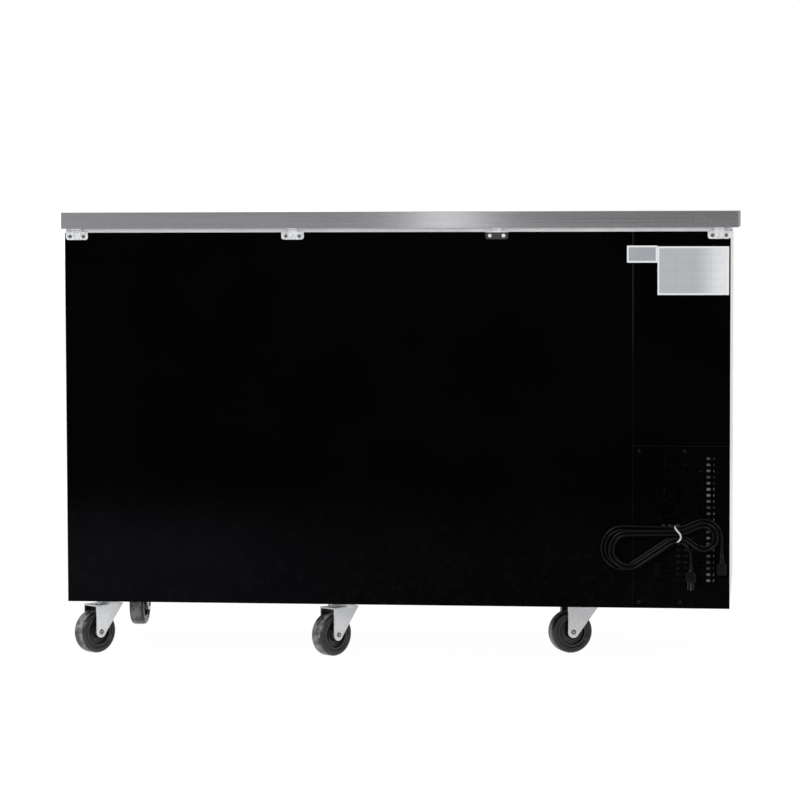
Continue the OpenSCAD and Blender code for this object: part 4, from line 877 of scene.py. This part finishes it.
for caster in CASTERS:
    roll = joints["roll_" + caster]
    axle, along = np.array(roll["pos_m"]), np.array(roll["axis"], float)
    wheel = {"material": FINISH["wheel_rubber"], "slot": "wheel_rubber", "body": "wheel_" + caster,
             "sharp": 30}
    tyre = piece(caster + "_tyre", ring_shell(TYRE, axle, along), replaces=("wheel_" + caster,), **wheel)
    centre = piece(caster + "_wheel_centre", ring_shell(CENTRE, axle, along), **wheel)
    store_distance(tyre, axle, along)
    store_distance(centre, axle, along)
    outward = FORK_OUT * MM * along
    collars = [turned_shell(COLLAR, axle + side * outward, side * along, 32) for side in (-1, 1)]
    piece(caster + "_axle_collars", collars, AXLE_DARK, "zinc", body="fork_" + caster, sharp=40)
    fork = nodes["fork_" + caster].data.materials
    fork.clear()
    # The gap between the fork legs, where the zinc gets painted shade.
    legs = (axle, along, (FORK_IN + 0.1) * MM, (CROWN - 0.1) * MM)
    fork.append(plated("zinc_" + caster, **ZINC, between=legs))

# Door gaskets

GASKET_W, GASKET_CORNER = 0.020, 0.014


def gasket_ring(node, name, body):
    """A bellows profile carried round the door: magnet nose, two folds and a foot. Half the profile is given
    as (part of the half width, part of the depth) and mirrored."""
    lo, hi = (np.array(c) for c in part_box(node))
    width, depth, height = hi - lo
    outline = rounded_rect(width - GASKET_W, height - GASKET_W, GASKET_CORNER, 8)
    centre = [(lo[0] + hi[0]) / 2, lo[1], (lo[2] + hi[2]) / 2]
    path = np.stack([outline[:, 0], 0 * outline[:, 0], outline[:, 1]], -1) + centre
    side = np.array([(0.96, 0.0), (0.96, 0.12), (0.62, 0.2), (0.9, 0.42), (0.62, 0.6), (0.8, 0.74),
                     (0.74, 0.93), (0.6, 1.0)])
    profile = np.concatenate([side * [-1, 1], side[::-1]]) * [GASKET_W / 2, -depth]
    return piece(name, swept_shell(path, profile, (0, 1, 0), closed=True), FINISH["gasket"], "gasket",
                 body=body, replaces=(node,), sharp=40)


gasket_ring("door_left_gasket", "door_left_bellows", "door_left")
gasket_ring("door_right_gasket", "door_right_bellows", "door_right")

# Floor, light and camera


FLOOR_R, FLOOR_Z = (0.0, 2.0, 6.0, 60.0), -0.0005


def studio_floor():
    """A wide flat disc just under the wheels, nearly white, that keeps a faint shadow."""
    t = np.linspace(0, 2 * np.pi, 64, endpoint=False)
    r, t = np.meshgrid(FLOOR_R, t, indexing="ij")
    pts = np.stack([r * np.cos(t), r * np.sin(t), np.full(r.shape, FLOOR_Z)], -1)
    made, g, bsdf = finish("studio_floor", Base_Color=(0.9, 0.9, 0.9), Roughness=0.9, Specular_IOR_Level=0.0)
    rays = g.node("ShaderNodeLightPath").outputs
    seen = g.math("MAXIMUM", rays["Is Camera Ray"], rays["Is Glossy Ray"])
    seen = g.math("MAXIMUM", seen, rays["Is Transmission Ray"])
    glow = g.node("ShaderNodeEmission", {"Color": (1, 1, 1, 1), "Strength": 1.03})
    shown = g.math("MULTIPLY", seen, 0.95)
    blend = g.node("ShaderNodeMixShader", {0: shown, 1: bsdf.outputs[0], 2: glow.outputs[0]})
    g.set(made.node_tree.nodes["Material Output"].inputs["Surface"], blend.outputs[0])
    floor = shell_object("floor", grid_shell(pts, False, True), made)


studio_floor()


# The room's brightness behind the camera, what the brighter side adds, and the brightness overhead.
ROOM_BACK, ROOM_SIDE, ROOM_TOP = 0.19, 0.285, 0.95


def studio_world():
    """A plain white room: full behind the object, dimmer behind the camera and brighter to one side of it,
    and full overhead."""
    world = bpy.data.worlds.new("studio")
    scene.world = world
    world.use_nodes = True
    g = Graph(world.node_tree)
    towards = g.split(g.node("ShaderNodeTexCoord").outputs["Generated"])
    behind_camera = g.ramp(towards["Y"], -0.1, 0.75, 1.0, ROOM_BACK)
    level = g.math("ADD", behind_camera, g.ramp(towards["X"], 0.02, 0.2, 0.0, ROOM_SIDE))
    overhead = g.ramp(towards["Z"], 0.25, 0.8)
    walls = g.math("MULTIPLY", level, g.math("SUBTRACT", 1.0, overhead))
    background = world.node_tree.nodes["Background"]
    background.inputs["Color"].default_value = (1, 1, 1, 1)
    g.set(background.inputs["Strength"], g.math("ADD", walls, g.math("MULTIPLY", overhead, ROOM_TOP)))


studio_world()


def placed(obj, axes, place):
    """Gives an object its own right, up and back directions and its place."""
    rows = np.column_stack([np.stack(axes, 1), place]).tolist()
    obj.matrix_world = Matrix(rows + [[0, 0, 0, 1]])


def softbox(name, place, aim, size, watts):
    """A rectangular soft lamp at place, turned to face aim."""
    lamp = bpy.data.lights.new(name, "AREA")
    lamp.shape, lamp.size, lamp.size_y, lamp.energy = "RECTANGLE", size[0], size[1], watts
    obj = bpy.data.objects.new(name, lamp)
    scene.collection.objects.link(obj)
    to = np.subtract(aim, place)
    to = to / np.linalg.norm(to)
    right = np.cross(to, (0, 0, 1))
    right /= np.linalg.norm(right)
    placed(obj, [right, np.cross(right, to), -to], place)


softbox("key_softbox", (2.2, 4.6, 3.0), (0.0, 0.3, 0.5), (2.4, 1.6), 95)
softbox("fill_softbox", (-2.6, 5.4, 2.2), (-0.4, 0.3, 0.4), (1.8, 1.6), 60)
softbox("small_softbox", (0.68, 8.2, 1.0), (-0.12, 0.35, 1.0), (0.25, 0.5), 0.86)
softbox("front_softbox", (-1.4, -4.6, 2.8), (0.0, -0.3, 0.5), (2.6, 1.8), 110)

# The camera fitted to the photograph: place, turn, tilt and roll, and a focal length in its pixels.
EYE = np.array([-829.3, 7357.2, 1028.5]) * MM
YAW, PITCH_DOWN, ROLL = (math.radians(a) for a in (-6.673, 3.477, -0.164))
FOCAL, PHOTO_WIDTH, SENSOR = 3100, 800, 36.0


def photo_camera():
    """A camera at EYE that looks along -Y, turned about Z, tilted down and then rolled."""
    lens = bpy.data.cameras.new("camera")
    lens.sensor_fit, lens.sensor_width, lens.lens = "HORIZONTAL", SENSOR, SENSOR * FOCAL / PHOTO_WIDTH
    lens.clip_start, lens.clip_end = 0.1, 200
    obj = bpy.data.objects.new("camera", lens)
    scene.collection.objects.link(obj)
    ahead = np.array([-math.sin(YAW), -math.cos(YAW), 0])
    level_right = np.array([-math.cos(YAW), math.sin(YAW), 0])
    upright = np.array([0, 0, 1.0])
    look = math.cos(PITCH_DOWN) * ahead - math.sin(PITCH_DOWN) * upright
    tilted_up = math.cos(PITCH_DOWN) * upright + math.sin(PITCH_DOWN) * ahead
    right = math.cos(ROLL) * level_right + math.sin(ROLL) * tilted_up
    up = math.cos(ROLL) * tilted_up - math.sin(ROLL) * level_right
    placed(obj, [right, up, -look], EYE)
    scene.camera = obj


photo_camera()
